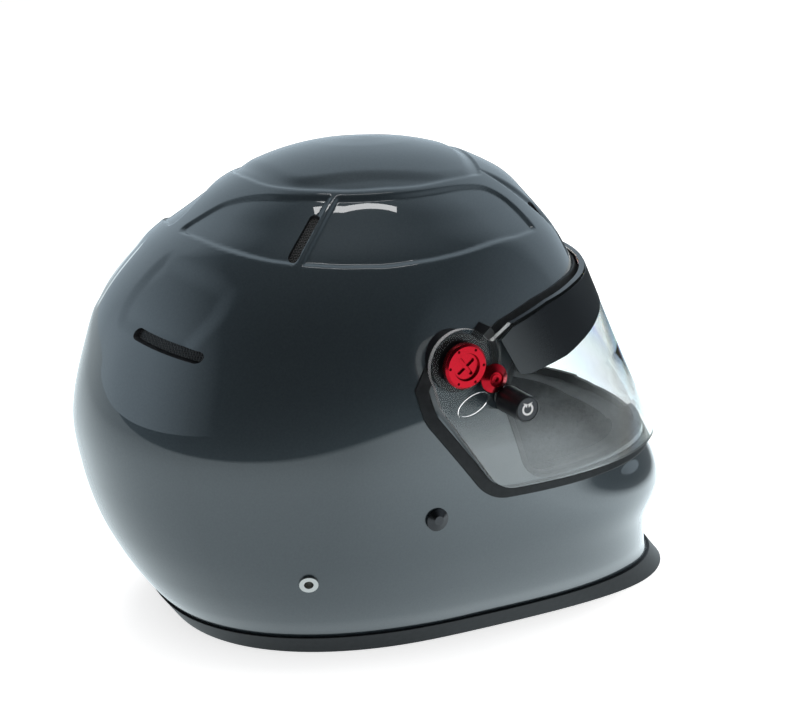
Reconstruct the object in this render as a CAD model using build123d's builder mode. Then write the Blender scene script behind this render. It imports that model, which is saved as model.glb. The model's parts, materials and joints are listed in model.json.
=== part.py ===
from build123d import *
from math import atan2, cos, degrees, hypot, pi, radians, sin

# Full-face racing helmet, millimetres. Z is up, the face looks along -Y, and the wearer's right
# side is at -X. The origin is at the middle of the box that the helmet fills, on its base.

# Driving dimensions
overall_length = 355.0      # front of the base rubber to the back of the shell
shell_width = 250.0         # painted shell at its widest
shell_height = 266.0        # base rubber to crown
shell_wall = 3.5            # laminate thickness
base_outset = 1.5           # how far the base rubber stands proud of the laminate
base_band = 11.0            # height of the base rubber
base_web = 3.0              # rubber under the laminate's edge
shield_wall = 3.0           # polycarbonate shield
shield_opening_angle = 50.0 # how far the shield lifts

half_length = overall_length / 2
half_width = shell_width / 2
quarter_turn = 90.0
overrun = 10.0              # how far a cutting form runs past what it cuts
wide_reach = 400.0          # a form that runs past the whole helmet
face_gap = 0.3              # air between faces of neighbouring pieces
fit_gap = 0.08              # radial play of a turning fit
seat_gap = 0.1              # play of a piece that sits in a hole or on a curved face

# Horizontal sections of the painted shell, bottom to crown. Each row: height as a share of the
# shell's height; half width as a share of half the width; rear, front and widest place as
# shares of half the length; the two powers say how square the front and rear halves are.
section_shares = [
    (0.000, 0.788, 0.718, 0.9915, -0.040, 3.50, 2.35),
    (0.041, 0.828, 0.763, 0.945, -0.040, 3.10, 2.33),
    (0.090, 0.888, 0.820, 0.913, -0.034, 3.00, 2.30),
    (0.150, 0.936, 0.876, 0.918, -0.023, 2.80, 2.28),
    (0.233, 0.980, 0.935, 0.976, -0.006, 2.60, 2.25),
    (0.338, 1.000, 0.980, 0.932, 0.011, 2.20, 2.20),
    (0.451, 1.000, 1.000, 0.868, 0.034, 2.20, 2.15),
    (0.583, 0.968, 0.958, 0.775, 0.051, 2.30, 2.10),
    (0.703, 0.888, 0.887, 0.634, 0.068, 2.60, 2.10),
    (0.805, 0.744, 0.749, 0.558, 0.085, 2.60, 2.10),
    (0.872, 0.600, 0.608, 0.492, 0.096, 2.35, 2.05),
    (0.914, 0.500, 0.518, 0.439, 0.101, 2.10, 2.00),
    (0.947, 0.403, 0.426, 0.347, 0.090, 2.00, 2.00),
    (0.974, 0.293, 0.319, 0.241, 0.075, 2.00, 2.00),
    (0.991, 0.178, 0.210, 0.131, 0.061, 2.00, 2.00),
    (0.998, 0.080, 0.116, 0.037, 0.050, 2.00, 2.00),
    (1.000, 0.032, 0.068, -0.011, 0.040, 2.00, 2.00),
]
section_steps = 24          # points round one section


def oval_points(half, rear, front, centre, front_power, rear_power):
    """Points round an oval made of a squared front half and a squared rear half."""
    points = []
    for step in range(section_steps):
        turn = 2 * pi * step / section_steps
        across, along = cos(turn), sin(turn)
        power = rear_power if along > 0 else front_power
        reach = (abs(across) ** power + abs(along) ** power) ** (-1 / power)
        depth = rear - centre if along > 0 else centre - front
        points.append((half * across * reach, centre + depth * along * reach))
    return points


def shell_sections(depth):
    """Sections of a form that lies depth inside the painted surface, square to it."""
    rows = []
    last = len(section_shares) - 1
    for k, (high, wide, rear, front, middle, front_power, rear_power) in enumerate(section_shares):
        below, above = section_shares[max(k - 1, 0)], section_shares[min(k + 1, last)]
        climb = (above[0] - below[0]) * shell_height
        spread = (above[1] - below[1]) * half_width / 2
        spread += (above[2] + above[3] - below[2] - below[3]) * half_length / 4
        slant = hypot(climb, spread)
        inward, down = depth * climb / slant, -depth * spread / slant
        if k == 0:
            inward, down = depth, -overrun if depth else 0
        rows.append((high * shell_height - (down if k else -down), wide * half_width - inward,
                     rear * half_length - inward, -front * half_length + inward,
                     middle * half_length, front_power, rear_power))
    return rows


def shell_form(depth):
    """Solid under the painted surface, depth inside it."""
    with BuildPart() as form:
        for height, half, rear, front, centre, front_power, rear_power in shell_sections(depth):
            with BuildSketch(Plane.XY.offset(height)):
                with BuildLine():
                    Spline(*oval_points(half, rear, front, centre, front_power, rear_power),
                           periodic=True)
                make_face()
        loft()
    return form.part


def between(rows, column, height):
    """Smooth value of one column of the sections at a height."""
    k = 0
    while k < len(rows) - 2 and rows[k + 1][0] < height:
        k += 1
    low, high = rows[k], rows[k + 1]
    before, after = rows[max(k - 1, 0)], rows[min(k + 2, len(rows) - 1)]
    span = high[0] - low[0]
    rise_low = (high[column] - before[column]) / (high[0] - before[0]) * span
    rise_high = (after[column] - low[column]) / (after[0] - low[0]) * span
    t = (height - low[0]) / span
    return ((2 * t**3 - 3 * t**2 + 1) * low[column] + (t**3 - 2 * t**2 + t) * rise_low
            + (3 * t**2 - 2 * t**3) * high[column] + (t**3 - t**2) * rise_high)


painted_rows = shell_sections(0)


def side_reach(y, height):
    """How far out the painted surface stands at a place on the side."""
    half, rear, front, centre, front_power, rear_power = [
        between(painted_rows, column, height) for column in range(1, 7)]
    power = rear_power if y > centre else front_power
    depth = rear - centre if y > centre else centre - front
    return half * (1 - (abs(y - centre) / depth) ** power) ** (1 / power)


def side_normal(y, height):
    """Direction square to the right side of the shell, away from the head."""
    step = shell_wall
    run = side_reach(y + step, height) - side_reach(y - step, height)
    rise = side_reach(y, height + step) - side_reach(y, height - step)
    return Vector(-2 * step, -run, -rise).normalized()


def side_prism(shares, radii=(), grow=0):
    """Form across the whole helmet from a side outline in shares of half length and height.
    radii lists (corner number, radius) for the corners that are rounded. The outline may grow."""
    corners = [(y * half_length, z * shell_height) for y, z in shares]
    with BuildPart() as prism:
        with BuildSketch(Plane.YZ):
            with BuildLine():
                Polyline(*corners, close=True)
            make_face()
            for number, radius in radii:
                y, z = corners[number]
                nearest = vertices().sort_by_distance((y, z, 0))[0]
                fillet(nearest, radius)
            if grow:
                offset(amount=grow, mode=Mode.REPLACE)
        extrude(amount=wide_reach, both=True)
    return prism.part


# Painted shell: the moulded laminate with its recesses, eyeport, vents and fastener holes
recess_depth = 1.5
crown_form = shell_form(0)
recess_floor = shell_form(recess_depth)
inner_form = shell_form(shell_wall)
under_shell_form = shell_form(shell_wall + face_gap)    # what lies inside the laminate

# Side outline of the opening for the eyes
eyeport_shares = [(-1.15, 0.361), (-0.175, 0.366), (-0.090, 0.534), (-0.135, 0.602),
                  (-0.338, 0.650), (-0.676, 0.699), (-1.15, 0.722)]
eyeport_corner = 16.0
eyeport_back_corner = 7.0
eyeport_radii = [(1, eyeport_corner), (2, eyeport_back_corner), (3, eyeport_back_corner)]
eyeport_form = side_prism(eyeport_shares, eyeport_radii)

# Plan outlines of the recessed band that runs round the crown, in shares of half width and
# half length. A rib splits it in two, and the spine and the brow ridge stay proud.
long_pocket_shares = [(-0.482, 0.272), (-0.65, 0.447), (-0.735, 0.34), (-0.775, 0.19),
                      (-0.77, 0.06), (-0.72, -0.10), (-0.655, -0.205), (-0.665, -0.27), (-0.63, -0.365),
                      (-0.50, -0.455), (-0.37, -0.45), (-0.33, -0.30), (-0.435, -0.12),
                      (-0.495, 0.06), (-0.505, 0.16)]
short_pocket_shares = [(-0.466, 0.28), (-0.634, 0.455), (-0.545, 0.565), (-0.45, 0.62),
                       (-0.30, 0.665), (-0.105, 0.68), (-0.105, 0.50), (-0.24, 0.475),
                       (-0.345, 0.41)]
# Rear outline of the two scoops above the rear slots, in shares of half width and height
scoop_shares = [(-0.11, 0.822), (-0.30, 0.808), (-0.47, 0.792), (-0.575, 0.775), (-0.605, 0.722),
                (-0.590, 0.688), (-0.565, 0.655), (-0.545, 0.632), (-0.30, 0.655), (-0.11, 0.665)]

slot_height = 6.0
top_slot_shares = ((-0.484, 0.365), (-0.578, 0.460))    # plan ends of the slot beside the crown
rear_slot_shares = ((-0.300, 0.668), (-0.570, 0.643))   # rear-view ends of the slot in the scoop
brow_slot_shares = ((-0.375, -0.435), (-0.440, -0.478)) # plan ends of the intake in the brow groove
brow_groove_shares = [(-0.275, -0.225), (-0.30, -0.33), (-0.335, -0.44), (-0.385, -0.51),
                      (-0.465, -0.50), (-0.44, -0.43), (-0.37, -0.33)]
groove_depth = 2.6
chin_panel_shares = [(0, 0.128), (-0.200, 0.128), (-0.235, 0.150), (-0.235, 0.262), (0, 0.262)]
chin_slot_shares = ((-0.150, 0.188), (-0.050, 0.188))
recess_low_share = 0.75                                  # the crown recesses lie above this height
slot_low_share = 0.65                                    # how deep the crown vents reach down


def stadium(ends, unit_a, unit_b, width):
    """Sketch of a round-ended slot between two places given in shares."""
    (a0, b0), (a1, b1) = ends
    start, finish = (a0 * unit_a, b0 * unit_b), (a1 * unit_a, b1 * unit_b)
    run = hypot(finish[0] - start[0], finish[1] - start[1])
    tilt = degrees(atan2(finish[1] - start[1], finish[0] - start[0]))
    middle = ((start[0] + finish[0]) / 2, (start[1] + finish[1]) / 2)
    with Locations(middle):
        SlotCenterToCenter(run, width, rotation=tilt)


def plan_slot(ends, width):
    """Upright cutting form through the crown, with its mirror image."""
    with BuildPart() as form:
        with BuildSketch(Plane.XY.offset(slot_low_share * shell_height)):
            stadium(ends, half_width, half_length, width)
        extrude(amount=shell_height)
        mirror(about=Plane.YZ)
    return form.part


def level_slot(ends, width, side):
    """Level cutting form through the rear (side 1) or the chin (side -1), with its mirror."""
    face = Plane(origin=(0, side * half_length / 2, 0), x_dir=(1, 0, 0), z_dir=(0, -1, 0))
    with BuildPart() as form:
        with BuildSketch(face):
            stadium(ends, half_width, shell_height, width)
        extrude(amount=-side * half_length)
        mirror(about=Plane.YZ)
    return form.part


def vent_forms(slack):
    """The four pairs of vents, slack smaller all round than the holes in the laminate."""
    width = slot_height - 2 * slack
    return [plan_slot(top_slot_shares, width), level_slot(rear_slot_shares, width, 1),
            plan_slot(brow_slot_shares, width), level_slot(chin_slot_shares, width, -1)]


def plan_form(shares):
    """Upright form from a plan outline on the right side, with its mirror image."""
    with BuildPart() as form:
        with BuildSketch(Plane.XY.offset(recess_low_share * shell_height)):
            with BuildLine():
                Polyline(*[(x * half_width, y * half_length) for x, y in shares], close=True)
            make_face()
        extrude(amount=shell_height)
        mirror(about=Plane.YZ)
    return form.part


# Shield hinge and hardware places
pivot_y = 14.0
pivot_z = 166.0
pivot_nut_hole = 5.1
anchor_y = 90.5
anchor_z = 51.0
anchor_barrel = 4.0
rivet_y = 25.5
rivet_z = 82.0
rivet_shank = 2.5

anchor_plane = Plane(origin=(-side_reach(anchor_y, anchor_z), anchor_y, anchor_z),
                     z_dir=side_normal(anchor_y, anchor_z))
rivet_plane = Plane(origin=(-side_reach(rivet_y, rivet_z), rivet_y, rivet_z),
                    x_dir=(0, 0, 1), z_dir=(-1, 0, 0))
pivot_plane = Plane(origin=(-side_reach(pivot_y, pivot_z), pivot_y, pivot_z),
                    x_dir=(0, 0, 1), z_dir=(-1, 0, 0))


def recess(outline_form, floor):
    """What a recess takes off the shell: the outline form, down to its floor."""
    return outline_form - floor


def bore(plane, radius, depth=overrun):
    """Round cutting form across the wall at a plane, with its mirror image."""
    with BuildPart() as form:
        with BuildSketch(plane.offset(-depth)):
            Circle(radius)
        extrude(amount=2 * depth)
        mirror(about=Plane.YZ)
    return form.part


def rear_view_form(shares, side):
    """Level form through the rear (side 1) or chin (side -1) from an outline seen from behind."""
    face = Plane(origin=(0, side * half_length, 0), x_dir=(1, 0, 0), z_dir=(0, -1, 0))
    with BuildPart() as form:
        with BuildSketch(face.offset(-overrun * side)):
            with BuildLine():
                Polyline(*[(x * half_width, z * shell_height) for x, z in shares], close=True)
            make_face()
        extrude(amount=side * half_length)
        mirror(about=Plane.YZ)
    return form.part


shell_cuts = [
    inner_form, eyeport_form,
    recess(plan_form(long_pocket_shares), recess_floor),
    recess(plan_form(short_pocket_shares), recess_floor),
    recess(plan_form(brow_groove_shares), shell_form(groove_depth)),
    recess(rear_view_form(scoop_shares, 1), recess_floor),
    recess(rear_view_form(chin_panel_shares, -1), recess_floor),
    bore(anchor_plane, anchor_barrel + seat_gap), bore(pivot_plane, pivot_nut_hole),
    bore(rivet_plane, rivet_shank + seat_gap),
] + vent_forms(0)

with BuildPart() as shell:
    add(crown_form)
    add(shell_cuts, mode=Mode.SUBTRACT)
    with BuildSketch(Plane.XY.offset(-overrun)):
        Rectangle(wide_reach, 2 * wide_reach)
    extrude(amount=overrun + base_web, mode=Mode.SUBTRACT)
shell.part.label = "shell"
export_step(shell.part, "parts/shell.step")

# Base rubber: a U-shaped edging pushed over the laminate's lower edge
edging_inner = 2.6          # rubber inside the laminate


def base_sections(outset):
    """The two lowest sections of the shell, moved out level."""
    rows = []
    for high, wide, rear, front, middle, front_power, rear_power in section_shares[:2]:
        rows.append((wide * half_width + outset, rear * half_length + outset,
                     -front * half_length - outset, middle * half_length,
                     front_power, rear_power))
    return rows


def base_form(outset, low, high):
    """Solid between two levels, following the foot of the shell."""
    with BuildPart() as form:
        for level, row in zip((low, high), base_sections(outset)):
            with BuildSketch(Plane.XY.offset(level)):
                with BuildLine():
                    Spline(*oval_points(*row), periodic=True)
                make_face()
        loft()
    return form.part


with BuildPart() as base_trim:
    add(base_form(base_outset, 0, base_band))
    add(base_form(-shell_wall - seat_gap - edging_inner, -overrun, base_band + overrun),
        mode=Mode.SUBTRACT)
    with BuildSketch(Plane.XY.offset(base_web)):
        Rectangle(wide_reach, 2 * wide_reach)
    above_web = extrude(amount=base_band, mode=Mode.PRIVATE)
    add(above_web & crown_form - inner_form, mode=Mode.SUBTRACT)
base_trim.part.label = "base_trim"
export_step(base_trim.part, "parts/base_trim.step")

# Shield: a clear sheet bent once round the face, flat where it is hinged at the ears
ear_face = 129.0            # outer face of the shield at the hinge, from the middle
ear_radius = 18.5
shield_low_z = 88.5         # lower edge of the shield at the front
shield_front = 172.8        # how far the shield's face stands forward there
shield_lean_share = 0.56    # how much the front comes in for each millimetre up
shield_bend_y = 12.0        # where the flat side ends and the bend starts
shield_back_y = 45.0
shield_power = 2.3
cheek_bulge = 2.2           # the lower edge stands this much wider than the ears
shield_level_shares = (0.30, 0.515, 0.80)   # heights of the bottom, the knee and the top


def shield_form(depth):
    """Solid behind the shield's outer face, depth inside it."""
    low, knee, high = [share * shell_height for share in shield_level_shares]
    with BuildPart() as form:
        for height, bulge in ((low, cheek_bulge), (knee, 0), (high, 0)):
            half = ear_face + bulge - depth
            front = -shield_front + (height - shield_low_z) * shield_lean_share + depth
            quarter = []
            for step in range(section_steps // 2 + 1):
                turn = pi * step / (section_steps // 2)
                across, along = cos(turn), sin(turn)
                reach = (abs(across) ** shield_power + abs(along) ** shield_power)
                reach = reach ** (-1 / shield_power)
                quarter.append((half * across * reach,
                                shield_bend_y - (shield_bend_y - front) * along * reach))
            with BuildSketch(Plane.XY.offset(height)):
                with BuildLine():
                    Spline(*quarter, tangents=((0, -1), (0, 1)))
                    Polyline((-half, shield_bend_y), (-half, shield_back_y),
                             (half, shield_back_y), (half, shield_bend_y))
                make_face()
        loft(ruled=True)
    return form.part


# Side outlines in shares of half length and height
shield_shares = [(-1.15, 0.327), (-0.051, 0.355), (0.146, 0.541), (0.183, 0.624),
                 (0.079, 0.690), (-0.020, 0.662), (-0.085, 0.691), (-0.225, 0.720),
                 (-0.372, 0.737), (-0.676, 0.759), (-1.15, 0.774)]
shield_low_corner = 20.0
shield_rear_corner = 18.0
strip_shares = [(-0.050, 0.662), (-0.090, 0.683), (-0.228, 0.713), (-0.374, 0.730),
                (-0.676, 0.752), (-1.15, 0.767), (-1.15, 0.750), (-0.563, 0.655),
                (-0.315, 0.600), (-0.163, 0.583), (-0.121, 0.585)]
strip_corner = 5.0
strip_film = 0.3
seal_shares = [(-1.15, 0.303), (-0.030, 0.330), (0.183, 0.510), (0.208, 0.575),
                 (0.150, 0.640), (-0.050, 0.668), (-0.090, 0.684), (-0.228, 0.712),
                 (-0.374, 0.730), (-0.676, 0.751), (-1.15, 0.766)]
seal_corner = 25.0
seal_rear_corner = 22.0
seal_top_corner = 9.0

shield_outer = shield_form(0)
shield_inner = shield_form(shield_wall)
with BuildPart() as ear_disc:
    with BuildSketch(Plane.YZ):
        with Locations((pivot_y, pivot_z)):
            Circle(ear_radius)
    extrude(amount=wide_reach, both=True)
shield_prism = side_prism(shield_shares, [(1, shield_low_corner), (2, shield_rear_corner)])

# Hinge pieces on each side. Places along X are distances out from the middle plane
ear_inside = ear_face - shield_wall
hinge_boss = 8.0            # radius of the boss that the ear turns on
plate_front_radius = 25.0
plate_rear_radius = 15.5
plate_gap = 1.3             # air between the plate and the ear, which starts to bend there
plate_spread = 42.0         # half angle of the plate's wide front
screw_head = 12.0
screw_head_wall = 4.2
screw_edge = 1.2
screw_shank = 3.0
screw_dish = 7.4            # radius of the dished middle of the head
screw_dish_depth = 1.6
cross_length = 11.6
cross_width = 1.9
cross_turn = 52.0
cross_depth = 1.2
spanner_hole = 0.7
spanner_ring = 9.7
spanner_depth = 1.0
spanner_holes = 6
nut_flange = 9.0
nut_flange_wall = 1.5
follower_y = -4.4
follower_z = 156.5
follower_radius = 2.4
follower_reach = 3.0
lock_head = 7.7
lock_top = 4.0
lock_rim_wall = 0.8
lock_head_wall = 3.4
lock_groove_wall = 0.4
lock_groove_depth = 1.0
lock_ring = 2.8
lock_ring_drop = 0.4
lock_shank = 1.5
hex_flats = 2.5
hex_sides = 6
hex_depth = 1.6
knob_y = -13.0
knob_z = 144.0
knob_ease = 0.45            # air under the knob, over the highest part of the bent shield
knob_length = 20.3
knob_base = 7.2
knob_end = 6.9
knob_edge = 0.6
knob_bore_depth = 15.0
knob_face = 5.9
knob_face_wall = 0.8
knob_face_sink = 0.3        # the disc lies this far below the knob's rim
spindle = 3.0
spindle_neck = 4.0
spindle_flange = 5.2
spindle_flange_wall = 0.8
tab_y = 7.2
tab_z = 143.4
tab_long = 10.0
tab_short = 5.5
tab_wall = 1.3
tab_height = 1.2
tab_tilt = -25.0

hinge_spot = (pivot_y, pivot_z)
follower_spot = (follower_y, follower_z)
knob_spot = (knob_y, knob_z)
follower_arm = hypot(pivot_y - follower_y, pivot_z - follower_z)
follower_drop = degrees(atan2(pivot_z - follower_z, pivot_y - follower_y))


def shield_reach(y, height, depth=0):
    """How far out the shield's outer face stands beside the hinge."""
    front = -shield_front + (height - shield_low_z) * shield_lean_share + depth
    bend = max(0, (shield_bend_y - y) / (shield_bend_y - front))
    return (ear_face - depth) * (1 - bend ** shield_power) ** (1 / shield_power)


def right_turned(spot, profile):
    """Round piece on the right, from a profile of (radius, distance from the middle)."""
    with BuildPart() as piece:
        with BuildSketch(Plane.XY):
            with BuildLine():
                Polyline(*[(-out, radius) for radius, out in profile], close=True)
            make_face()
        revolve(axis=Axis.X)
    return piece.part.moved(Location((0, *spot)))


def right_cylinder(spot, radius, start, finish):
    """Round bar on the right between two distances from the middle."""
    return right_turned(spot, [(0, start), (radius, start), (radius, finish), (0, finish)])


def pair(solid):
    """A right-hand piece and its mirror image."""
    return [solid, mirror(solid, about=Plane.YZ)]


def write(part, name):
    """Label a piece and save it."""
    part.label = name
    export_step(part, f"parts/{name}.step")


def write_sides(solid, name):
    """Save a right-hand piece and its mirror image as two nodes."""
    with BuildPart() as right:
        add(solid)
    with BuildPart() as left:
        mirror(solid, about=Plane.YZ)
    write(right.part, name + "_right")
    write(left.part, name + "_left")


knob_seat_out = shield_reach(knob_y + knob_base, knob_z) + knob_ease
lock_seat_out = shield_reach(follower_y + lock_head, follower_z) + seat_gap
follower_out = shield_reach(follower_y - follower_radius, follower_z, shield_wall) - seat_gap

with BuildPart() as finger_tab:
    with BuildSketch(Plane.YZ.offset(-ear_face - tab_height)):
        with Locations((tab_y, tab_z)):
            Ellipse(tab_long, tab_short, rotation=tab_tilt)
            Ellipse(tab_long - tab_wall, tab_short - tab_wall, rotation=tab_tilt,
                    mode=Mode.SUBTRACT)
    extrude(amount=tab_height + shield_wall / 2)

with BuildPart() as visor:
    add(shield_outer)
    add(pair(finger_tab.part))
    add(shield_inner, mode=Mode.SUBTRACT)
    add(shield_prism + ear_disc.part, mode=Mode.INTERSECT)
    holes = []
    for spot, radius in ((hinge_spot, hinge_boss + fit_gap),
                         (follower_spot, lock_shank + seat_gap),
                         (knob_spot, spindle_neck + seat_gap)):
        holes += pair(right_cylinder(spot, radius, ear_inside - overrun, ear_face + overrun))
    add(holes, mode=Mode.SUBTRACT)
write(visor.part, "visor")

with BuildPart() as sunstrip:
    add(shield_form(-strip_film))
    add(shield_outer, mode=Mode.SUBTRACT)
    add(side_prism(strip_shares, [(10, strip_corner)]), mode=Mode.INTERSECT)
write(sunstrip.part, "sunstrip")


def plate_form(grow, slot):
    """The hinge plate's outline run inwards, grown all round, with or without its arc slot."""
    with BuildPart() as form:
        with BuildSketch(Plane.YZ.offset(-ear_inside + plate_gap)):
            with Locations(hinge_spot):
                Circle(plate_front_radius + grow)
            with BuildLine():
                tips = [(pivot_y - 2 * plate_front_radius * cos(radians(turn)),
                         pivot_z + 2 * plate_front_radius * sin(radians(turn)))
                        for turn in (-plate_spread, 0, plate_spread)]
                Polyline(hinge_spot, *tips, close=True)
            make_face(mode=Mode.INTERSECT)
            with Locations(hinge_spot):
                Circle(plate_rear_radius + grow)
            if slot:
                with BuildLine():
                    way = CenterArc(hinge_spot, follower_arm, 2 * quarter_turn + follower_drop,
                                    -shield_opening_angle)
                trace(line_width=2 * (follower_radius + face_gap), mode=Mode.SUBTRACT)
                with Locations(way @ 0, way @ 1):
                    Circle(follower_radius + face_gap, mode=Mode.SUBTRACT)
        extrude(amount=half_width / 4)
    return form.part


around_shell = shell_form(-seat_gap)
nut_out = side_reach(pivot_y, pivot_z + pivot_nut_hole) - seat_gap
nut_seat = side_reach(pivot_y, pivot_z + nut_flange) - shell_wall - 2 * face_gap
with BuildPart() as pivot_plate:
    add(plate_form(0, True))
    add(right_cylinder(hinge_spot, hinge_boss, ear_inside - overrun, ear_face + face_gap))
    add([around_shell, right_cylinder(hinge_spot, screw_shank + fit_gap, 0, ear_face + overrun)],
        mode=Mode.SUBTRACT)
write_sides(pivot_plate.part, "pivot_plate")

head_in = ear_face + 2 * face_gap
head_out = head_in + screw_head_wall
with BuildPart() as pivot_screw:
    add(right_turned(hinge_spot, [
        (0, nut_seat - nut_flange_wall), (screw_shank, nut_seat - nut_flange_wall),
        (screw_shank, head_in), (screw_head, head_in), (screw_head, head_out - screw_edge),
        (screw_head - screw_edge, head_out), (screw_dish, head_out),
        (screw_dish - screw_edge / 2, head_out - screw_dish_depth),
        (0, head_out - screw_dish_depth)]))
    with BuildSketch(Plane.YZ.offset(-head_out + screw_dish_depth + cross_depth)):
        with Locations(hinge_spot):
            for turn in (cross_turn, cross_turn + quarter_turn):
                SlotOverall(cross_length, cross_width, rotation=turn)
    extrude(amount=-2 * cross_depth, mode=Mode.SUBTRACT)
    with BuildSketch(Plane.YZ.offset(-head_out + spanner_depth)):
        with Locations(hinge_spot):
            with PolarLocations(spanner_ring, spanner_holes):
                Circle(spanner_hole)
    extrude(amount=-2 * spanner_depth, mode=Mode.SUBTRACT)
write_sides(pivot_screw.part, "pivot_screw")

with BuildPart() as pivot_nuts:
    nut = right_turned(hinge_spot, [
        (screw_shank + fit_gap, nut_seat - nut_flange_wall), (nut_flange, nut_seat - nut_flange_wall),
        (nut_flange, nut_seat - nut_flange_wall / 2), (pivot_nut_hole - seat_gap, nut_seat),
        (pivot_nut_hole - seat_gap, nut_out), (screw_shank + fit_gap, nut_out)])
    add(pair(nut))
write(pivot_nuts.part, "pivot_nuts")

# Tear-off and lock hardware that rides on the shield
with BuildPart() as lock_screw:
    add(right_turned(follower_spot, [
        (0, follower_out - follower_reach), (lock_shank, follower_out - follower_reach),
        (lock_shank, lock_seat_out), (lock_head, lock_seat_out),
        (lock_head, lock_seat_out + lock_rim_wall), (lock_top, lock_seat_out + lock_head_wall),
        (lock_top - lock_groove_wall, lock_seat_out + lock_head_wall - lock_groove_depth),
        (lock_ring, lock_seat_out + lock_head_wall - lock_groove_depth),
        (lock_ring, lock_seat_out + lock_head_wall - lock_ring_drop),
        (0, lock_seat_out + lock_head_wall - lock_ring_drop)]))
    with BuildSketch(Plane.YZ.offset(-lock_seat_out - lock_head_wall + hex_depth)):
        with Locations(follower_spot):
            RegularPolygon(hex_flats / 2, hex_sides, major_radius=False)
    extrude(amount=-2 * hex_depth, mode=Mode.SUBTRACT)
write_sides(lock_screw.part, "lock_screw")

bush_out = follower_out
bush_in = follower_out - follower_reach
write_sides(right_turned(follower_spot, [
    (lock_shank + fit_gap, bush_in), (follower_radius, bush_in),
    (follower_radius, bush_out), (lock_shank + fit_gap, bush_out)]), "detent_follower")

flange_out = shield_reach(knob_y - spindle_flange, knob_z, shield_wall) - seat_gap
write_sides(right_turned(knob_spot, [
    (0, flange_out - spindle_flange_wall), (spindle_flange, flange_out - spindle_flange_wall),
    (spindle_flange, flange_out), (spindle_neck, flange_out), (spindle_neck, knob_seat_out - seat_gap),
    (spindle, knob_seat_out - seat_gap), (spindle, knob_seat_out + knob_bore_depth - face_gap),
    (0, knob_seat_out + knob_bore_depth - face_gap)]), "knob_spindle")

knob_out = knob_seat_out + knob_length
face_in = knob_out - knob_face_sink - knob_face_wall
write_sides(right_turned(knob_spot, [
    (spindle + fit_gap, knob_seat_out), (knob_base, knob_seat_out), (knob_end, knob_out - knob_edge),
    (knob_end - knob_edge, knob_out), (knob_face + fit_gap, knob_out),
    (knob_face + fit_gap, face_in - fit_gap), (0, face_in - fit_gap),
    (0, knob_seat_out + knob_bore_depth), (spindle + fit_gap, knob_seat_out + knob_bore_depth)]),
    "tear_off_knob")
write_sides(right_cylinder(knob_spot, knob_face, face_in, face_in + knob_face_wall), "knob_face")

# Rubber on the shell under the shield: a seal under the shield's edge, and a bead round the opening
seal_wall = 0.9
seal_width = 7.0
bead_wall = 0.5
bead_width = 3.0
seal_radii = [(1, seal_corner), (2, seal_rear_corner), (4, seal_top_corner)]
seal_band = shell_form(-seal_wall) & side_prism(seal_shares, seal_radii)
seal_band = seal_band - around_shell - side_prism(seal_shares, seal_radii, -seal_width)
for plate in pair(plate_form(face_gap, False)):
    seal_band = seal_band - plate
with BuildPart() as shield_seal:
    add(seal_band)
write(shield_seal.part, "shield_seal")

bead_band = shell_form(-bead_wall) & side_prism(eyeport_shares, eyeport_radii, bead_width)
with BuildPart() as eyeport_bead:
    add(bead_band - around_shell - eyeport_form)
write(eyeport_bead.part, "eyeport_bead")

# Mesh inserts behind the vents
mesh_top = 2.75             # how deep below the painted surface the mesh starts
mesh_slack = 0.15
mesh_layer = shell_form(mesh_top) - inner_form
for slots, name in zip(vent_forms(mesh_slack), ("top", "rear", "brow", "chin")):
    write_sides((slots & mesh_layer).solids().sort_by(Axis.X)[0], name + "_vent_mesh")

# Threaded inserts for a head restraint, one on each side behind the ear
anchor_flange = 5.0
anchor_flange_wall = 1.2
anchor_lift = 0.2           # keeps the flat flange clear of the curved shell
anchor_reach = 9.0
anchor_bore = 2.5           # tapping radius of an M6 thread
with BuildPart() as anchor:
    with BuildSketch(anchor_plane.offset(-anchor_reach)):
        Circle(anchor_barrel)
    extrude(amount=anchor_reach + anchor_lift)
    with BuildSketch(anchor_plane.offset(anchor_lift)):
        Circle(anchor_flange)
    extrude(amount=anchor_flange_wall)
    with BuildSketch(anchor_plane.offset(anchor_lift + anchor_flange_wall)):
        Circle(anchor_bore)
    extrude(amount=-anchor_reach, mode=Mode.SUBTRACT)
write_sides(anchor.part, "anchor_insert")

# Chin strap: webbing down the inside of the shell and under the chin, riveted at the top.
# The right end folds back on itself and is held by a snap, the left end carries two rings.
strap_width = 25.0
strap_wall = 2.0
strap_ease = 0.7            # air between the webbing and the shell
strap_top_z = 94.0
strap_level_shares = (0.235, 0.15, 0.09)
strap_drop_out = 84.0
strap_drop_z = 7.2
strap_flat_out = 70.0
strap_flat_z = 5.4
strap_fold_out = 10.0
strap_fold_gap = 2.6
strap_tail_out = 62.0
strap_bend = 2.2
snap_out = 47.0
snap_post = 1.5
snap_cap = 6.5
snap_cap_wall = 1.4
snap_base = 5.0
snap_base_wall = 0.8
washer_radius = 10.0
washer_wall = 1.5
rivet_head = 6.2
rivet_dome = 2.2
rivet_edge = 0.7
rivet_tail = 4.2
rivet_tail_wall = 1.2
ring_wire = 1.5
ring_bar_gap = 4.5          # between the bars of the two rings
ring_bar_out = 16.0
ring_corner = 3.0
small_ring_reach = 14.0
big_ring_reach = 24.0
small_ring_half = 14.8
big_ring_half = 18.2
loop_gap = 0.3              # play of the rings' bars in the webbing loop


def strap_out(height):
    """How far out the webbing's middle lies where it follows the shell."""
    edge = side_reach(rivet_y + strap_width / 2, height)
    return edge - shell_wall - strap_ease - strap_wall / 2


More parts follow.
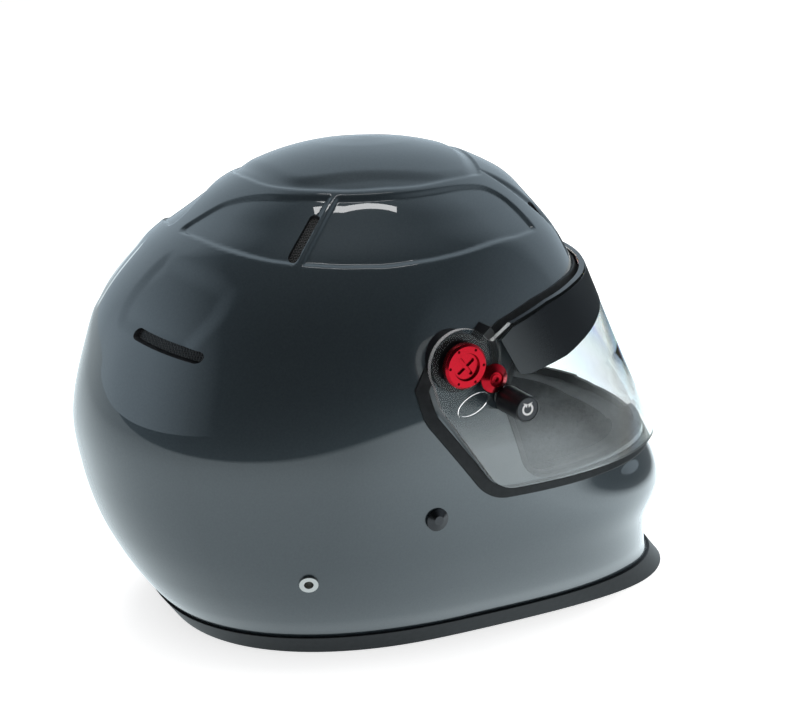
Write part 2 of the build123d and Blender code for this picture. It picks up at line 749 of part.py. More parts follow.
upper_out = strap_out(strap_level_shares[0] * shell_height)
strap_run = [(upper_out, strap_top_z)]
strap_run += [(strap_out(share * shell_height), share * shell_height)
              for share in strap_level_shares]
strap_run += [(strap_drop_out, strap_drop_z), (strap_flat_out, strap_flat_z)]
fold_z = strap_flat_z + strap_wall + strap_fold_gap
ring_bar_far = ring_bar_out + ring_bar_gap
loop_inner = ring_wire + loop_gap
loop_outer = loop_inner + strap_wall
strap_plane = Plane.XZ.offset(-rivet_y)
rivet_spot = (rivet_y, rivet_z)
rivet_out = side_reach(rivet_y, rivet_z + rivet_head) + seat_gap
washer_out = upper_out - strap_wall / 2 - seat_gap
washer_in = washer_out - washer_wall
shank_hole = right_cylinder(rivet_spot, rivet_shank + seat_gap, 0, half_width + overrun)

snap_base_z = strap_flat_z - strap_wall / 2 - seat_gap
snap_cap_z = fold_z + strap_wall / 2 + seat_gap
with BuildPart() as strap_snap:
    with BuildSketch(Plane.XZ):
        with BuildLine():
            Polyline((0, snap_base_z - snap_base_wall), (snap_base, snap_base_z - snap_base_wall),
                     (snap_base, snap_base_z), (snap_post, snap_base_z), (snap_post, snap_cap_z),
                     (snap_cap, snap_cap_z), (snap_cap, snap_cap_z + snap_cap_wall / 2),
                     (snap_base, snap_cap_z + snap_cap_wall), (0, snap_cap_z + snap_cap_wall),
                     close=True)
        make_face()
    revolve(axis=Axis.Z)
write(strap_snap.part.moved(Location((-snap_out, rivet_y, 0))), "strap_snap")

with BuildPart() as strap_right:
    with BuildSketch(strap_plane):
        with BuildLine():
            FilletPolyline(*[(-out, z) for out, z in strap_run], (-strap_fold_out, strap_flat_z),
                           (-strap_fold_out, fold_z), (-strap_tail_out, fold_z), radius=strap_bend)
        trace(line_width=strap_wall)
    extrude(amount=strap_width / 2, both=True)
    with BuildSketch(Plane.XY.offset(0)):
        with Locations((-snap_out, rivet_y)):
            Circle(snap_post + seat_gap)
    extrude(amount=overrun + fold_z, mode=Mode.SUBTRACT)
    add(shank_hole, mode=Mode.SUBTRACT)
write(strap_right.part, "chin_strap_right")

with BuildPart() as strap_left:
    with BuildSketch(strap_plane):
        with BuildLine():
            FilletPolyline(*strap_run, (ring_bar_far + loop_inner, strap_flat_z), radius=strap_bend)
        trace(line_width=strap_wall)
        with Locations(((ring_bar_out + ring_bar_far) / 2, strap_flat_z)):
            SlotCenterToCenter(ring_bar_gap, 2 * loop_outer)
            SlotCenterToCenter(ring_bar_gap, 2 * loop_inner, mode=Mode.SUBTRACT)
    extrude(amount=strap_width / 2, both=True)
    mirror(shank_hole, about=Plane.YZ, mode=Mode.SUBTRACT)
write(strap_left.part, "chin_strap_left")


def ring(bar_out, half, reach):
    """Wire ring lying flat, its straight bar across the webbing's end."""
    near, far = rivet_y - half, rivet_y + half
    with BuildPart() as piece:
        with BuildLine(Plane.XY.offset(strap_flat_z)) as way:
            FilletPolyline((bar_out, near), (bar_out, far), (bar_out - reach, far),
                           (bar_out - reach, near), radius=ring_corner, close=True)
        with BuildSketch(Plane(origin=way.line @ 0, z_dir=way.line % 0)):
            Circle(ring_wire)
        sweep(path=way.line)
    return piece.part


write(ring(ring_bar_out, small_ring_half, small_ring_reach), "small_ring")
write(ring(ring_bar_far, big_ring_half, big_ring_reach), "big_ring")

write_sides(right_turned(rivet_spot, [
    (rivet_shank + seat_gap, washer_in), (washer_radius, washer_in),
    (washer_radius, washer_out), (rivet_shank + seat_gap, washer_out)]), "strap_washer")
write_sides(right_turned(rivet_spot, [
    (0, washer_in - seat_gap - rivet_tail_wall), (rivet_tail, washer_in - seat_gap - rivet_tail_wall),
    (rivet_tail, washer_in - seat_gap), (rivet_shank, washer_in - seat_gap),
    (rivet_shank, rivet_out + seat_gap), (rivet_head, rivet_out + seat_gap),
    (rivet_head, rivet_out + rivet_edge), (rivet_tail, rivet_out + rivet_dome - rivet_edge),
    (rivet_shank, rivet_out + rivet_dome), (0, rivet_out + rivet_dome)]), "strap_rivet")

# Linings. The head's room is an oval well with a domed top
head_half = 84.0
head_long = 112.0
head_middle = 5.0
head_shoulder = 140.0
head_top = 228.0
ball_radius = 1.0           # the ball that is stretched into the dome
pad_wall = 8.0              # comfort padding over the foam liner
pad_ease = 0.6              # air round the removable pads
foam_gap = 1.0              # air round hardware that reaches into the foam
cheek_half = 64.0
cheek_long = 105.0
neck_half = 72.0
neck_long = 108.0
chin_half = 98.0
chin_front = 143.0
chin_power = 2.7
crown_liner_shares = [(1.05, 0.152), (0.372, 0.152), (0.372, 0.421), (0.113, 0.489),
                      (-0.045, 0.496), (-0.034, 0.620), (-0.338, 0.677), (-0.704, 0.726),
                      (-1.05, 0.752), (-1.05, 1.1), (1.05, 1.1)]
comfort_shares = [(1.05, 0.421), (0.113, 0.500), (-0.034, 0.504), (-0.023, 0.628),
                  (-0.338, 0.684), (-0.704, 0.733), (-1.05, 0.760), (-1.05, 1.1), (1.05, 1.1)]
cheek_shares = [(-0.321, 0.062), (0.338, 0.077), (0.349, 0.410), (0.113, 0.478),
                (-0.068, 0.451), (-0.169, 0.345), (-0.321, 0.338)]
cheek_corner = 8.0
neck_shares = [(0.361, 0.050), (1.05, 0.050), (1.05, 0.140), (0.361, 0.140)]
chin_shares = [(-0.338, 0.062), (-0.338, 0.342), (-1.05, 0.342), (-1.05, 0.062)]


def head_form(gap):
    """The head's room, wider all round by gap."""
    with BuildPart() as form:
        Sphere(radius=ball_radius)
        scale(by=(head_half + gap, head_long + gap, head_top - head_shoulder + gap))
    with BuildPart() as well:
        with BuildSketch(Plane.XY.offset(-head_shoulder - overrun)):
            Ellipse(head_half + gap, head_long + gap)
        extrude(amount=head_shoulder + overrun)
        add(form.part)
    return well.part.moved(Location((0, head_middle, head_shoulder)))


def oval_well(half, long):
    """Upright oval room through the whole helmet."""
    with BuildPart() as form:
        with BuildSketch(Plane.XY.offset(-overrun)):
            with Locations((0, head_middle)):
                Ellipse(half, long)
        extrude(amount=shell_height)
    return form.part


hardware_relief = pair(right_cylinder(hinge_spot, nut_flange + foam_gap,
                                      nut_seat - nut_flange_wall - foam_gap, half_width))
hardware_relief.append(bore(anchor_plane, anchor_barrel + foam_gap, anchor_reach + foam_gap))
foam_outside = under_shell_form & side_prism(crown_liner_shares)
with BuildPart() as crown_liner:
    add(foam_outside)
    add([head_form(pad_wall)] + hardware_relief + vent_forms(0)[:3], mode=Mode.SUBTRACT)
write(crown_liner.part, "crown_liner")

with BuildPart() as comfort_liner:
    add(head_form(pad_wall - pad_ease))
    add(side_prism(comfort_shares), mode=Mode.INTERSECT)
    add(head_form(0), mode=Mode.SUBTRACT)
write(comfort_liner.part, "comfort_liner")

with BuildPart() as chin_well:
    with BuildSketch(Plane.XY.offset(-overrun)):
        with BuildLine():
            Spline(*oval_points(chin_half, chin_front, -chin_front, 0, chin_power, chin_power),
                   periodic=True)
        make_face()
    extrude(amount=shell_height)
with BuildPart() as chin_liner:
    add(under_shell_form & side_prism(chin_shares))
    add(chin_well.part, mode=Mode.SUBTRACT)
write(chin_liner.part, "chin_liner")

pad_form = shell_form(shell_wall + pad_ease)
way_in = strap_wall + foam_gap
strap_way_run = [(out - way_in, z) for out, z in strap_run[1:-1]]
with BuildPart() as strap_way:
    with BuildSketch(strap_plane):
        with BuildLine():
            Polyline(*[(-out, z) for out, z in strap_way_run],
                     (-half_width - overrun, 0), (-half_width - overrun, shell_height / 2),
                     (-upper_out + way_in, shell_height / 2), close=True)
        make_face()
    extrude(amount=strap_width / 2 + foam_gap, both=True)
    add(right_cylinder(rivet_spot, washer_radius + foam_gap,
                       washer_in - rivet_tail_wall - foam_gap, half_width + overrun))
with BuildPart() as cheek_pads:
    add(pad_form & side_prism(cheek_shares, [(0, cheek_corner), (1, cheek_corner),
                                             (2, cheek_corner), (6, cheek_corner)]))
    add(oval_well(cheek_half, cheek_long), mode=Mode.SUBTRACT)
cheek_right = cheek_pads.part.solids().sort_by(Axis.X)[0]
write_sides(cheek_right - strap_way.part, "cheek_pad")

with BuildPart() as neck_roll:
    add(pad_form & side_prism(neck_shares))
    add(oval_well(neck_half, neck_long), mode=Mode.SUBTRACT)
write(neck_roll.part, "neck_roll")
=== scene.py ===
# %% [markdown]
# A full-face racing helmet, dressed for a product photograph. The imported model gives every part
# its place and size; this script gives each one its finish. Everything is in metres, Z is up and
# the face looks along -Y, so the wearer's right side is at -X.

# %% Load the frame
import bpy
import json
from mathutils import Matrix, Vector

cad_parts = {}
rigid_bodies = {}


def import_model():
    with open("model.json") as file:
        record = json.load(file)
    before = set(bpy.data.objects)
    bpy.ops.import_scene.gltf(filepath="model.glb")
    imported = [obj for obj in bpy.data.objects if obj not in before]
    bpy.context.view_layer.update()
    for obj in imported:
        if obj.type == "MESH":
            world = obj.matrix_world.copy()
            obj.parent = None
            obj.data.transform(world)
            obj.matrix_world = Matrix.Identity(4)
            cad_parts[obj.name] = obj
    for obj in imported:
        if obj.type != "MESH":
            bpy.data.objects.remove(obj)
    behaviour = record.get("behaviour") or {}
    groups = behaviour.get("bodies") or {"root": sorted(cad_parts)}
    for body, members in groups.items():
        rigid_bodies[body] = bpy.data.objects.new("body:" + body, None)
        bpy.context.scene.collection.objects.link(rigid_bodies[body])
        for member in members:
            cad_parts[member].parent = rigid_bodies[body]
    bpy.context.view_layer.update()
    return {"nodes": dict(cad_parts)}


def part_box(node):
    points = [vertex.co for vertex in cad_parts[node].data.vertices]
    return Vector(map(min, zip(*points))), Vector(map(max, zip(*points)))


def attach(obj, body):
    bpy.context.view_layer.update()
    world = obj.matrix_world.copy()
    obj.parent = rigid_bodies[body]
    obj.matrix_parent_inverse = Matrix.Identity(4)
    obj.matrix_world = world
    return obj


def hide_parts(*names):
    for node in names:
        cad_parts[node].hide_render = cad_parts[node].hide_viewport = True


for leftover in list(bpy.data.objects):
    bpy.data.objects.remove(leftover)
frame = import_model()

import json
import math
import bmesh
import numpy as np
from mathutils import Matrix, Vector
from mathutils.bvhtree import BVHTree

nodes = frame["nodes"]
mm = 0.001
print("parts in the frame:", len(nodes))

# %% [markdown]
# The camera comes first. The photograph looks at the helmet's right side from a little behind
# the shoulder and above it, with a long lens. The numbers come from fitting the shell's outline
# to the photograph; they could be found by eye too, but a fit keeps every edge within a few pixels.

# %% Camera
def in_scene(name, data):
    """New object that holds the given data, linked to the scene."""
    obj = bpy.data.objects.new(name, data)
    bpy.context.scene.collection.objects.link(obj)
    return obj


turn = math.radians(27.2)
climb = math.radians(16.1)
distance = 0.935
aim = Vector((0.0, -0.01645, 0.1309))
level_part = math.cos(climb)
back = Vector((-math.cos(turn) * level_part, math.sin(turn) * level_part, math.sin(climb)))
camera_data = bpy.data.cameras.new("camera")
camera_data.lens = 70.9
camera_data.clip_start = 0.01
camera = in_scene("camera", camera_data)
camera.location = aim + back * distance
camera.rotation_euler = (-back).to_track_quat("-Z", "Y").to_euler()
bpy.context.scene.camera = camera
print("camera at", [round(v, 3) for v in camera.location])

# %% [markdown]
# Materials are node trees. This helper starts one with a Principled shader and sets plain values
# straight on the shader. The next two give every texture the same footing: the part's own
# coordinates, in metres, so that a grain has a real size.

# %% Material helpers
def finish_of(name, **values):
    """New material with its node tree and its shader."""
    material = bpy.data.materials.new(name)
    material.use_nodes = True
    shader = material.node_tree.nodes["Principled BSDF"]
    for socket, value in values.items():
        shader.inputs[socket.replace("_", " ")].default_value = value
    return material, material.node_tree, shader


def add_node(tree, kind, **values):
    """New node; each value goes to the socket of that name, or else to the setting."""
    node = tree.nodes.new(kind)
    for key, value in values.items():
        if key in node.inputs:
            node.inputs[key].default_value = value
        else:
            setattr(node, key, value)
    return node


def place(tree):
    """Socket with the place on the object, in metres."""
    return add_node(tree, "ShaderNodeTexCoord").outputs["Object"]


def combine(tree, operation, one, other):
    """Math node of the given operation between two sockets."""
    node = add_node(tree, "ShaderNodeMath", operation=operation)
    tree.links.new(one, node.inputs[0])
    tree.links.new(other, node.inputs[1])
    return node.outputs[0]


print("material helpers:", [tool.__name__ for tool in (finish_of, add_node, place, combine)])

# %% [markdown]
# Four small tools make every finish here. Noise gives an uneven height, a ramp stretches it to a
# wanted range, two tones keep a colour from being flat, and bump turns height into fine relief. A
# bevel inside the bump rounds sharp edges, which tells the eye that a part is moulded or turned.

# %% Grain, tones and relief
def noise(tree, scale, detail=3.0, rough=0.5):
    """Uneven height with about scale lumps to the metre."""
    node = add_node(tree, "ShaderNodeTexNoise", Scale=scale, Detail=detail, Roughness=rough)
    tree.links.new(place(tree), node.inputs["Vector"])
    return node.outputs["Fac"]


def ramp(tree, source, low, high, low_value, high_value):
    """Reads low_value where source is low and high_value where it is high, and blends between."""
    node = add_node(tree, "ShaderNodeMapRange")
    ends = {"From Min": low, "From Max": high, "To Min": low_value, "To Max": high_value}
    for key, value in ends.items():
        node.inputs[key].default_value = value
    tree.links.new(source, node.inputs["Value"])
    return node.outputs["Result"]


def two_tone(tree, shader, source, dark, light):
    """Base colour that runs from dark to light with the source."""
    node = add_node(tree, "ShaderNodeValToRGB")
    node.color_ramp.elements[0].color = (*dark, 1)
    node.color_ramp.elements[1].color = (*light, 1)
    node.color_ramp.elements[0].position = 0.3
    node.color_ramp.elements[1].position = 0.7
    tree.links.new(source, node.inputs["Fac"])
    tree.links.new(node.outputs["Color"], shader.inputs["Base Color"])


def bump(tree, shader, source, height, strength=1.0, edge=0.0):
    """Fine relief of the given height; edge is the radius that sharp edges seem to have."""
    node = add_node(tree, "ShaderNodeBump", Strength=strength, Distance=height)
    tree.links.new(source, node.inputs["Height"])
    if edge:
        rounder = add_node(tree, "ShaderNodeBevel", Radius=edge, samples=6)
        tree.links.new(rounder.outputs["Normal"], node.inputs["Normal"])
    tree.links.new(node.outputs["Normal"], shader.inputs["Normal"])


print("tools for finishes:", [tool.__name__ for tool in (noise, ramp, two_tone, bump)])

# %% [markdown]
# The paint is a dark slate base under a deep clear lacquer. The lacquer is the coat of the
# Principled shader; the base has a little metal in it, which lifts it where the pale table
# reflects. A very weak noise keeps the base from being one flat colour.

# %% Paint
paint, tree, shader = finish_of("slate_lacquer", Metallic=0.5, Roughness=0.42,
                                Coat_Weight=1.0, Coat_Roughness=0.012, Coat_IOR=1.6)
two_tone(tree, shader, noise(tree, 900.0), (0.026, 0.037, 0.045), (0.032, 0.045, 0.053))
bump(tree, shader, noise(tree, 2600.0), 0.00002, 0.12)
print("paint:", paint.name)

# %% [markdown]
# Rubber, plastic and foam are dark and matt, and differ in their grain. Foam is made of swollen
# beads, so a Voronoi pattern gives it cells; noise would look like stone instead.

# %% Rubber, plastic and foam
rubber, tree, shader = finish_of("edge_rubber", Roughness=0.46, Specular_IOR_Level=0.22)
two_tone(tree, shader, noise(tree, 260.0), (0.007, 0.008, 0.009), (0.013, 0.014, 0.016))
bump(tree, shader, noise(tree, 1400.0, 5.0), 0.00006, 0.25, 0.0007)

plastic, tree, shader = finish_of("black_moulding", Roughness=0.30, Specular_IOR_Level=0.35)
two_tone(tree, shader, noise(tree, 400.0), (0.004, 0.004, 0.005), (0.008, 0.008, 0.009))
bump(tree, shader, noise(tree, 3000.0, 4.0), 0.00004, 0.2, 0.0003)

disc, tree, shader = finish_of("knob_disc", Roughness=0.55)
two_tone(tree, shader, noise(tree, 1800.0), (0.030, 0.034, 0.040), (0.055, 0.060, 0.068))
bump(tree, shader, noise(tree, 5200.0, 4.0), 0.0001, 0.5)

foam, tree, shader = finish_of("bead_foam", Roughness=0.8)
cells = add_node(tree, "ShaderNodeTexVoronoi", Scale=260.0)
tree.links.new(place(tree), cells.inputs["Vector"])
# Painted shade: the colour darkens toward the cell edges, in the grooves that the bump sinks between the
# beads.
two_tone(tree, shader, cells.outputs["Distance"], (0.040, 0.041, 0.044), (0.016, 0.016, 0.018))
bump(tree, shader, cells.outputs["Distance"], -0.0004, 0.6)
print("matt finishes:", [material.name for material in (rubber, plastic, disc, foam)])

# %% [markdown]
# The screens behind the vents are woven wire. Wave textures at right angles to each other give
# the crossing wires, and the higher of them wins at each place. The same weave, at another pitch,
# serves for threads later on. A wave texture of scale 1 repeats about every 0.314 m.

# %% Woven mesh
wave_length = math.tau / 20    # metres between the bands of a wave texture whose scale is 1


def weave(tree, pitch):
    """Height of a plain weave of wires or threads, on all three axes."""
    heights = []
    for axis in "XYZ":
        wave = add_node(tree, "ShaderNodeTexWave", Scale=wave_length / pitch, bands_direction=axis)
        tree.links.new(place(tree), wave.inputs["Vector"])
        heights.append(wave.outputs["Fac"])
    return combine(tree, "MAXIMUM", combine(tree, "MAXIMUM", heights[0], heights[1]), heights[2])


mesh_finish, tree, shader = finish_of("vent_mesh", Roughness=0.35, Metallic=0.4)
wires = ramp(tree, weave(tree, 1.1 * mm), 0.86, 0.99, 0.0, 1.0)
# The gaps between the wires are painted near black, for the dark vent behind them: partly its own dark
# colour and partly painted shade.
two_tone(tree, shader, wires, (0.001, 0.001, 0.001), (0.075, 0.075, 0.075))
bump(tree, shader, wires, 0.0004, 1.0)
print("screens:", mesh_finish.name)

# %% [markdown]
# Turned metal carries fine rings from the lathe. A wave texture of ring type, centred on the
# part's own axis, gives that bump. The red parts are anodised aluminium, which stays a metal.

# %% Metals
tool_feed = 0.5 * mm    # how far the lathe's tool moves out at each turn
hinge_y, hinge_z = 0.014, 0.166
lock_y, lock_z = -0.0044, 0.1565
knob_y, knob_z = -0.013, 0.144
rivet_y, rivet_z = 0.0255, 0.082


def turned(name, centre, **values):
    """Metal with lathe rings round the line across the helmet through the given y and z."""
    material, tree, shader = finish_of(name, Metallic=1.0, **values)
    shift = add_node(tree, "ShaderNodeMapping", vector_type="POINT")
    shift.inputs["Location"].default_value = (0, -centre[0], -centre[1])
    rings = add_node(tree, "ShaderNodeTexWave", wave_type="RINGS", rings_direction="X",
                     Scale=wave_length / tool_feed, Distortion=0.6)
    tree.links.new(place(tree), shift.inputs["Vector"])
    tree.links.new(shift.outputs["Vector"], rings.inputs["Vector"])
    bump(tree, shader, rings.outputs["Fac"], 0.00003, 0.25, 0.00025)
    return material


red = (0.40, 0.010, 0.020, 1)
red_pivot = turned("red_anodised_pivot", (hinge_y, hinge_z), Base_Color=red, Roughness=0.27)
red_lock = turned("red_anodised_lock", (lock_y, lock_z), Base_Color=red, Roughness=0.27)
nickel = turned("nickel", (rivet_y, rivet_z), Base_Color=(0.55, 0.54, 0.52, 1), Roughness=0.28)
black_steel = turned("black_steel", (rivet_y, rivet_z), Base_Color=(0.045, 0.045, 0.047, 1),
                     Roughness=0.22)
print("metals:", [material.name for material in (red_pivot, red_lock, nickel, black_steel)])

# %% [markdown]
# Cloth and webbing get a thread pattern at true scale and a soft sheen. The lining is a knit with
# stitches 1.4 mm apart; the webbing is a weave whose ribs are 1.1 mm apart.

# %% Cloth
lining, tree, shader = finish_of("knit_lining", Roughness=0.9, Sheen_Weight=0.35,
                                 Sheen_Roughness=0.5)
knit = weave(tree, 1.4 * mm)
two_tone(tree, shader, noise(tree, 120.0), (0.030, 0.031, 0.034), (0.048, 0.049, 0.053))
bump(tree, shader, knit, 0.0003, 0.5)

webbing, tree, shader = finish_of("black_webbing", Roughness=0.75, Sheen_Weight=0.3)
threads = weave(tree, 1.1 * mm)
# Painted shade: the dips between the threads are darker than the threads' raised tops.
two_tone(tree, shader, threads, (0.008, 0.008, 0.009), (0.022, 0.022, 0.024))
bump(tree, shader, threads, 0.0003, 0.7)
print("cloths:", lining.name, webbing.name)

# %% [markdown]
# The shield is clear polycarbonate. It is made as real glass, and a glass shader would cast a
# black shadow, so most of each shadow ray is let through.

# %% Light through the shield
def let_shadows_through(tree, shader, share):
    """Mixes in plain transparency for shadow rays, by the given share."""
    out = tree.nodes["Material Output"]
    clear = add_node(tree, "ShaderNodeBsdfTransparent")
    rays = add_node(tree, "ShaderNodeLightPath")
    mix = add_node(tree, "ShaderNodeMixShader")
    part = add_node(tree, "ShaderNodeMath", operation="MULTIPLY")
    part.inputs[1].default_value = share
    tree.links.new(rays.outputs["Is Shadow Ray"], part.inputs[0])
    tree.links.new(part.outputs[0], mix.inputs["Fac"])
    tree.links.new(shader.outputs[0], mix.inputs[1])
    tree.links.new(clear.outputs[0], mix.inputs[2])
    tree.links.new(mix.outputs[0], out.inputs["Surface"])


print("glass helper:", let_shadows_through.__name__)

# %% [markdown]
# A thin film on the front of the shield gives the faint rainbow there. The glass bends light like
# polycarbonate low down and less higher up: at full strength the mirrored table would lie over
# the hinge as a veil, and the photograph shows the hinge clear. The smoke in its volume is a light
# tint. Its cut edge is polished less, and shows as a bright line.

# %% Clear shield
clear_shield, tree, shader = finish_of("clear_shield", Base_Color=(0.975, 0.985, 0.99, 1),
                                       Roughness=0.0, IOR=1.58, Transmission_Weight=1.0,
                                       Thin_Film_IOR=1.52)
film = ramp(tree, noise(tree, 9.0, 1.0), 0.3, 0.7, 300.0, 560.0)
spot = add_node(tree, "ShaderNodeSeparateXYZ")
tree.links.new(place(tree), spot.inputs[0])
only_front = combine(tree, "MULTIPLY", film, ramp(tree, spot.outputs["Y"], -0.095, -0.140, 0.0, 1.0))
tree.links.new(only_front, shader.inputs["Thin Film Thickness"])
bending = ramp(tree, spot.outputs["Z"], 0.116, 0.146, 1.62, 1.14)
tree.links.new(bending, shader.inputs["IOR"])
smoke = add_node(tree, "ShaderNodeVolumeAbsorption", Color=(0.70, 0.76, 0.77, 1), Density=220.0)
tree.links.new(smoke.outputs[0], tree.nodes["Material Output"].inputs["Volume"])
let_shadows_through(tree, shader, 0.94)

shield_edge, tree, shader = finish_of("shield_edge", Base_Color=(0.93, 0.95, 0.96, 1),
                                      Roughness=0.2, IOR=1.5, Transmission_Weight=0.75)
bump(tree, shader, noise(tree, 900.0), 0.00004, 0.3)
let_shadows_through(tree, shader, 0.8)
print("shield:", clear_shield.name, shield_edge.name)

# %% [markdown]
# The sun strip is a dark film stuck across the top of the shield. It is a little rougher than the
# shield, so that it carries a soft sheen instead of a mirror image.

# %% Sun strip
strip_finish, tree, shader = finish_of("charcoal_film", Roughness=0.20, Specular_IOR_Level=0.4)
two_tone(tree, shader, noise(tree, 1500.0, 6.0), (0.011, 0.014, 0.017), (0.015, 0.018, 0.022))
bump(tree, shader, noise(tree, 2600.0, 3.0), 0.00003, 0.15)
print("strip:", strip_finish.name)

# %% [markdown]
# The shell is one moulded form. Each height has an oval section whose front and rear halves are
# superellipses. Each row of the table gives the share of the height, the half width as a share of
# its largest, rear, front and middle as shares of the half length, and the two powers. Reading it
# smoothly gives a surface without facets, which gloss paint needs.

# %% The shell's table
half_length, half_width, shell_height = 0.1775, 0.125, 0.266
wall = 3.5 * mm
rows = np.array([
    (0.000, 0.788, 0.718, 0.9915, -0.040, 3.50, 2.35),
    (0.041, 0.828, 0.763, 0.945, -0.040, 3.10, 2.33),
    (0.090, 0.888, 0.820, 0.913, -0.034, 3.00, 2.30),
    (0.150, 0.936, 0.876, 0.918, -0.023, 2.80, 2.28),
    (0.233, 0.980, 0.935, 0.976, -0.006, 2.60, 2.25),
    (0.338, 1.000, 0.980, 0.932, 0.011, 2.20, 2.20),
    (0.451, 1.000, 1.000, 0.868, 0.034, 2.20, 2.15),
    (0.583, 0.968, 0.958, 0.775, 0.051, 2.30, 2.10),
    (0.703, 0.888, 0.887, 0.634, 0.068, 2.60, 2.10),
    (0.805, 0.744, 0.749, 0.558, 0.085, 2.60, 2.10),
    (0.872, 0.600, 0.608, 0.492, 0.096, 2.35, 2.05),
    (0.914, 0.500, 0.518, 0.439, 0.101, 2.10, 2.00),
    (0.947, 0.403, 0.426, 0.347, 0.090, 2.00, 2.00),
    (0.974, 0.293, 0.319, 0.241, 0.075, 2.00, 2.00),
    (0.991, 0.178, 0.210, 0.131, 0.061, 2.00, 2.00),
    (0.998, 0.080, 0.116, 0.037, 0.050, 2.00, 2.00),
    (1.000, 0.032, 0.068, -0.011, 0.040, 2.00, 2.00)])
painted = rows * [shell_height, half_width, half_length, -half_length, half_length, 1, 1]
print("sections in the table:", len(painted))

# %% [markdown]
# Two readers turn the table into a surface. The first joins its rows by a smooth cubic, so that
# any height has a section; the second lays the section's points round.

# %% Reading the table
def at_height(table, height):
    """Every column of the table at the given heights, joined by a smooth cubic."""
    z = table[:, 0]
    last = len(z) - 1
    k = np.clip(np.searchsorted(z, height, side="right") - 1, 0, last - 1)
    before, after = np.maximum(k - 1, 0), np.minimum(k + 2, last)
    span = (z[k + 1] - z[k])[:, None]
    low, high = table[k], table[k + 1]
    rise_low = (high - table[before]) / (z[k + 1] - z[before])[:, None] * span
    rise_high = (table[after] - low) / (z[after] - z[k])[:, None] * span
    t = ((height - z[k])[:, None]) / span
    return ((2 * t**3 - 3 * t**2 + 1) * low + (t**3 - 2 * t**2 + t) * rise_low
            + (3 * t**2 - 2 * t**3) * high + (t**3 - t**2) * rise_high)


def section(table, heights, around):
    """Grid of points: one ring of `around` points for each height."""
    values = at_height(table, heights)
    half, rear, front, middle, front_power, rear_power = [values[:, k:k + 1] for k in range(1, 7)]
    angle = np.linspace(0, math.tau, around, endpoint=False)[None, :]
    across, along = np.cos(angle), np.sin(angle)
    power = np.where(along > 0, rear_power, front_power)
    reach = (np.abs(across) ** power + np.abs(along) ** power) ** (-1 / power)
    depth = np.where(along > 0, rear - middle, middle - front)
    z = np.repeat(heights[:, None], around, axis=1)
    return np.stack([half * across * reach, middle + depth * along * reach, z], axis=-1)


middle_row = at_height(painted, np.array([shell_height / 2]))[0]
print("half width at mid height:", round(float(middle_row[1]), 4))

# %% [markdown]
# The crown is nearly level, so even steps of height would leave it coarse. The heights are spread
# evenly along the profile instead. The directions across the grid are kept for the gloss.

# %% Even rows and their directions
def even_heights(table, low, spacing):
    """Heights that lie evenly along the profile, so that the crown isn't coarse."""
    fine = low + (table[-1, 0] - low) * np.linspace(0, 1, 6000)
    values = at_height(table, fine)
    spread = (values[:, 1] + values[:, 2] / 2 - values[:, 3] / 2) / 2
    run = np.concatenate([[0], np.cumsum(np.hypot(np.diff(fine), np.diff(spread)))])
    count = int(run[-1] / spacing)
    return np.interp(np.linspace(0, run[-1], count), run, fine)


def grid_normals(points):
    """Outward direction at each point of a grid that closes round on itself."""
    round_way = np.roll(points, -1, axis=1) - np.roll(points, 1, axis=1)
    up_way = np.gradient(points, axis=0)
    normal = np.cross(round_way, up_way)
    length = np.linalg.norm(normal, axis=-1, keepdims=True)
    return normal / np.maximum(length, 1e-12)


print("rows 10 mm apart:", len(even_heights(painted, 3 * mm, 10 * mm)))

# %% [markdown]
# Shallow recesses shape the crown. A long pocket runs along each side of it, with a thin ridge
# across beside the vent, and a trough lies above the pocket's upper rim, where the dome starts.
# These outlines are drawn from above for the right side, as shares of half width and half length.
# The scoop at the back and the chin panel are drawn from behind, with shares of the height.

# %% Recess outlines
pocket = [(-.030, .690), (-.243, .659), (-.363, .629), (-.474, .582), (-.558, .529), (-.632, .458),
          (-.702, .355), (-.744, .242), (-.754, .180), (-.756, .082), (-.744, -.023), (-.724, -.099),
          (-.681, -.204), (-.650, -.275), (-.580, -.366), (-.540, -.353), (-.475, -.325), (-.434, -.287),
          (-.414, -.235), (-.437, -.158), (-.473, -.055), (-.490, .020), (-.495, .090), (-.484, .186),
          (-.451, .268), (-.371, .369), (-.300, .428), (-.240, .466), (-.178, .507), (-.100, .565)]
divider = [(-.430, .276), (-.665, .500)]
crown_edge = [(.3, .474), (-.122, .460), (-.246, .428), (-.352, .361), (-.434, .264), (-.466, .184),
              (-.477, .084), (-.472, .010), (-.450, -.063), (-.392, -.189), (-.320, -.289), (.3, -.306)]
dome = [(.3, .370), (-.150, .375), (-.250, .345), (-.300, .290), (-.335, .210), (-.365, .100),
        (-.375, -.020), (-.370, -.120), (-.320, -.220), (.3, -.240)]
brow_groove = [(-.275, -.225), (-.30, -.33), (-.335, -.44), (-.385, -.51), (-.465, -.50),
               (-.44, -.43), (-.37, -.33)]
scoop = [(-.11, .822), (-.30, .808), (-.47, .792), (-.575, .775), (-.605, .722), (-.590, .688),
         (-.565, .655), (-.545, .632), (-.30, .655), (-.11, .665)]
chin_panel = [(.3, .128), (-.200, .128), (-.235, .150), (-.235, .262), (.3, .262)]
print("outlines:", [len(outline) for outline in (pocket, crown_edge, dome, brow_groove, scoop, chin_panel)])

# %% [markdown]
# Easing each depth in over a few millimetres gives the soft steps of a moulded shell; a boolean
# cut would leave hard walls. For that, each place needs its distance from the outline.

# %% Distance from an outline
def rounded(outline, unit_a, unit_b, rounds=3, cut=0.22):
    """Closed outline in metres with its corners cut back again and again."""
    points = np.array(outline) * [unit_a, unit_b]
    for _ in range(rounds):
        after = np.roll(points, -1, axis=0)
        points = np.stack([points * (1 - cut) + after * cut, points * cut + after * (1 - cut)], axis=1)
        points = points.reshape(-1, 2)
    return points


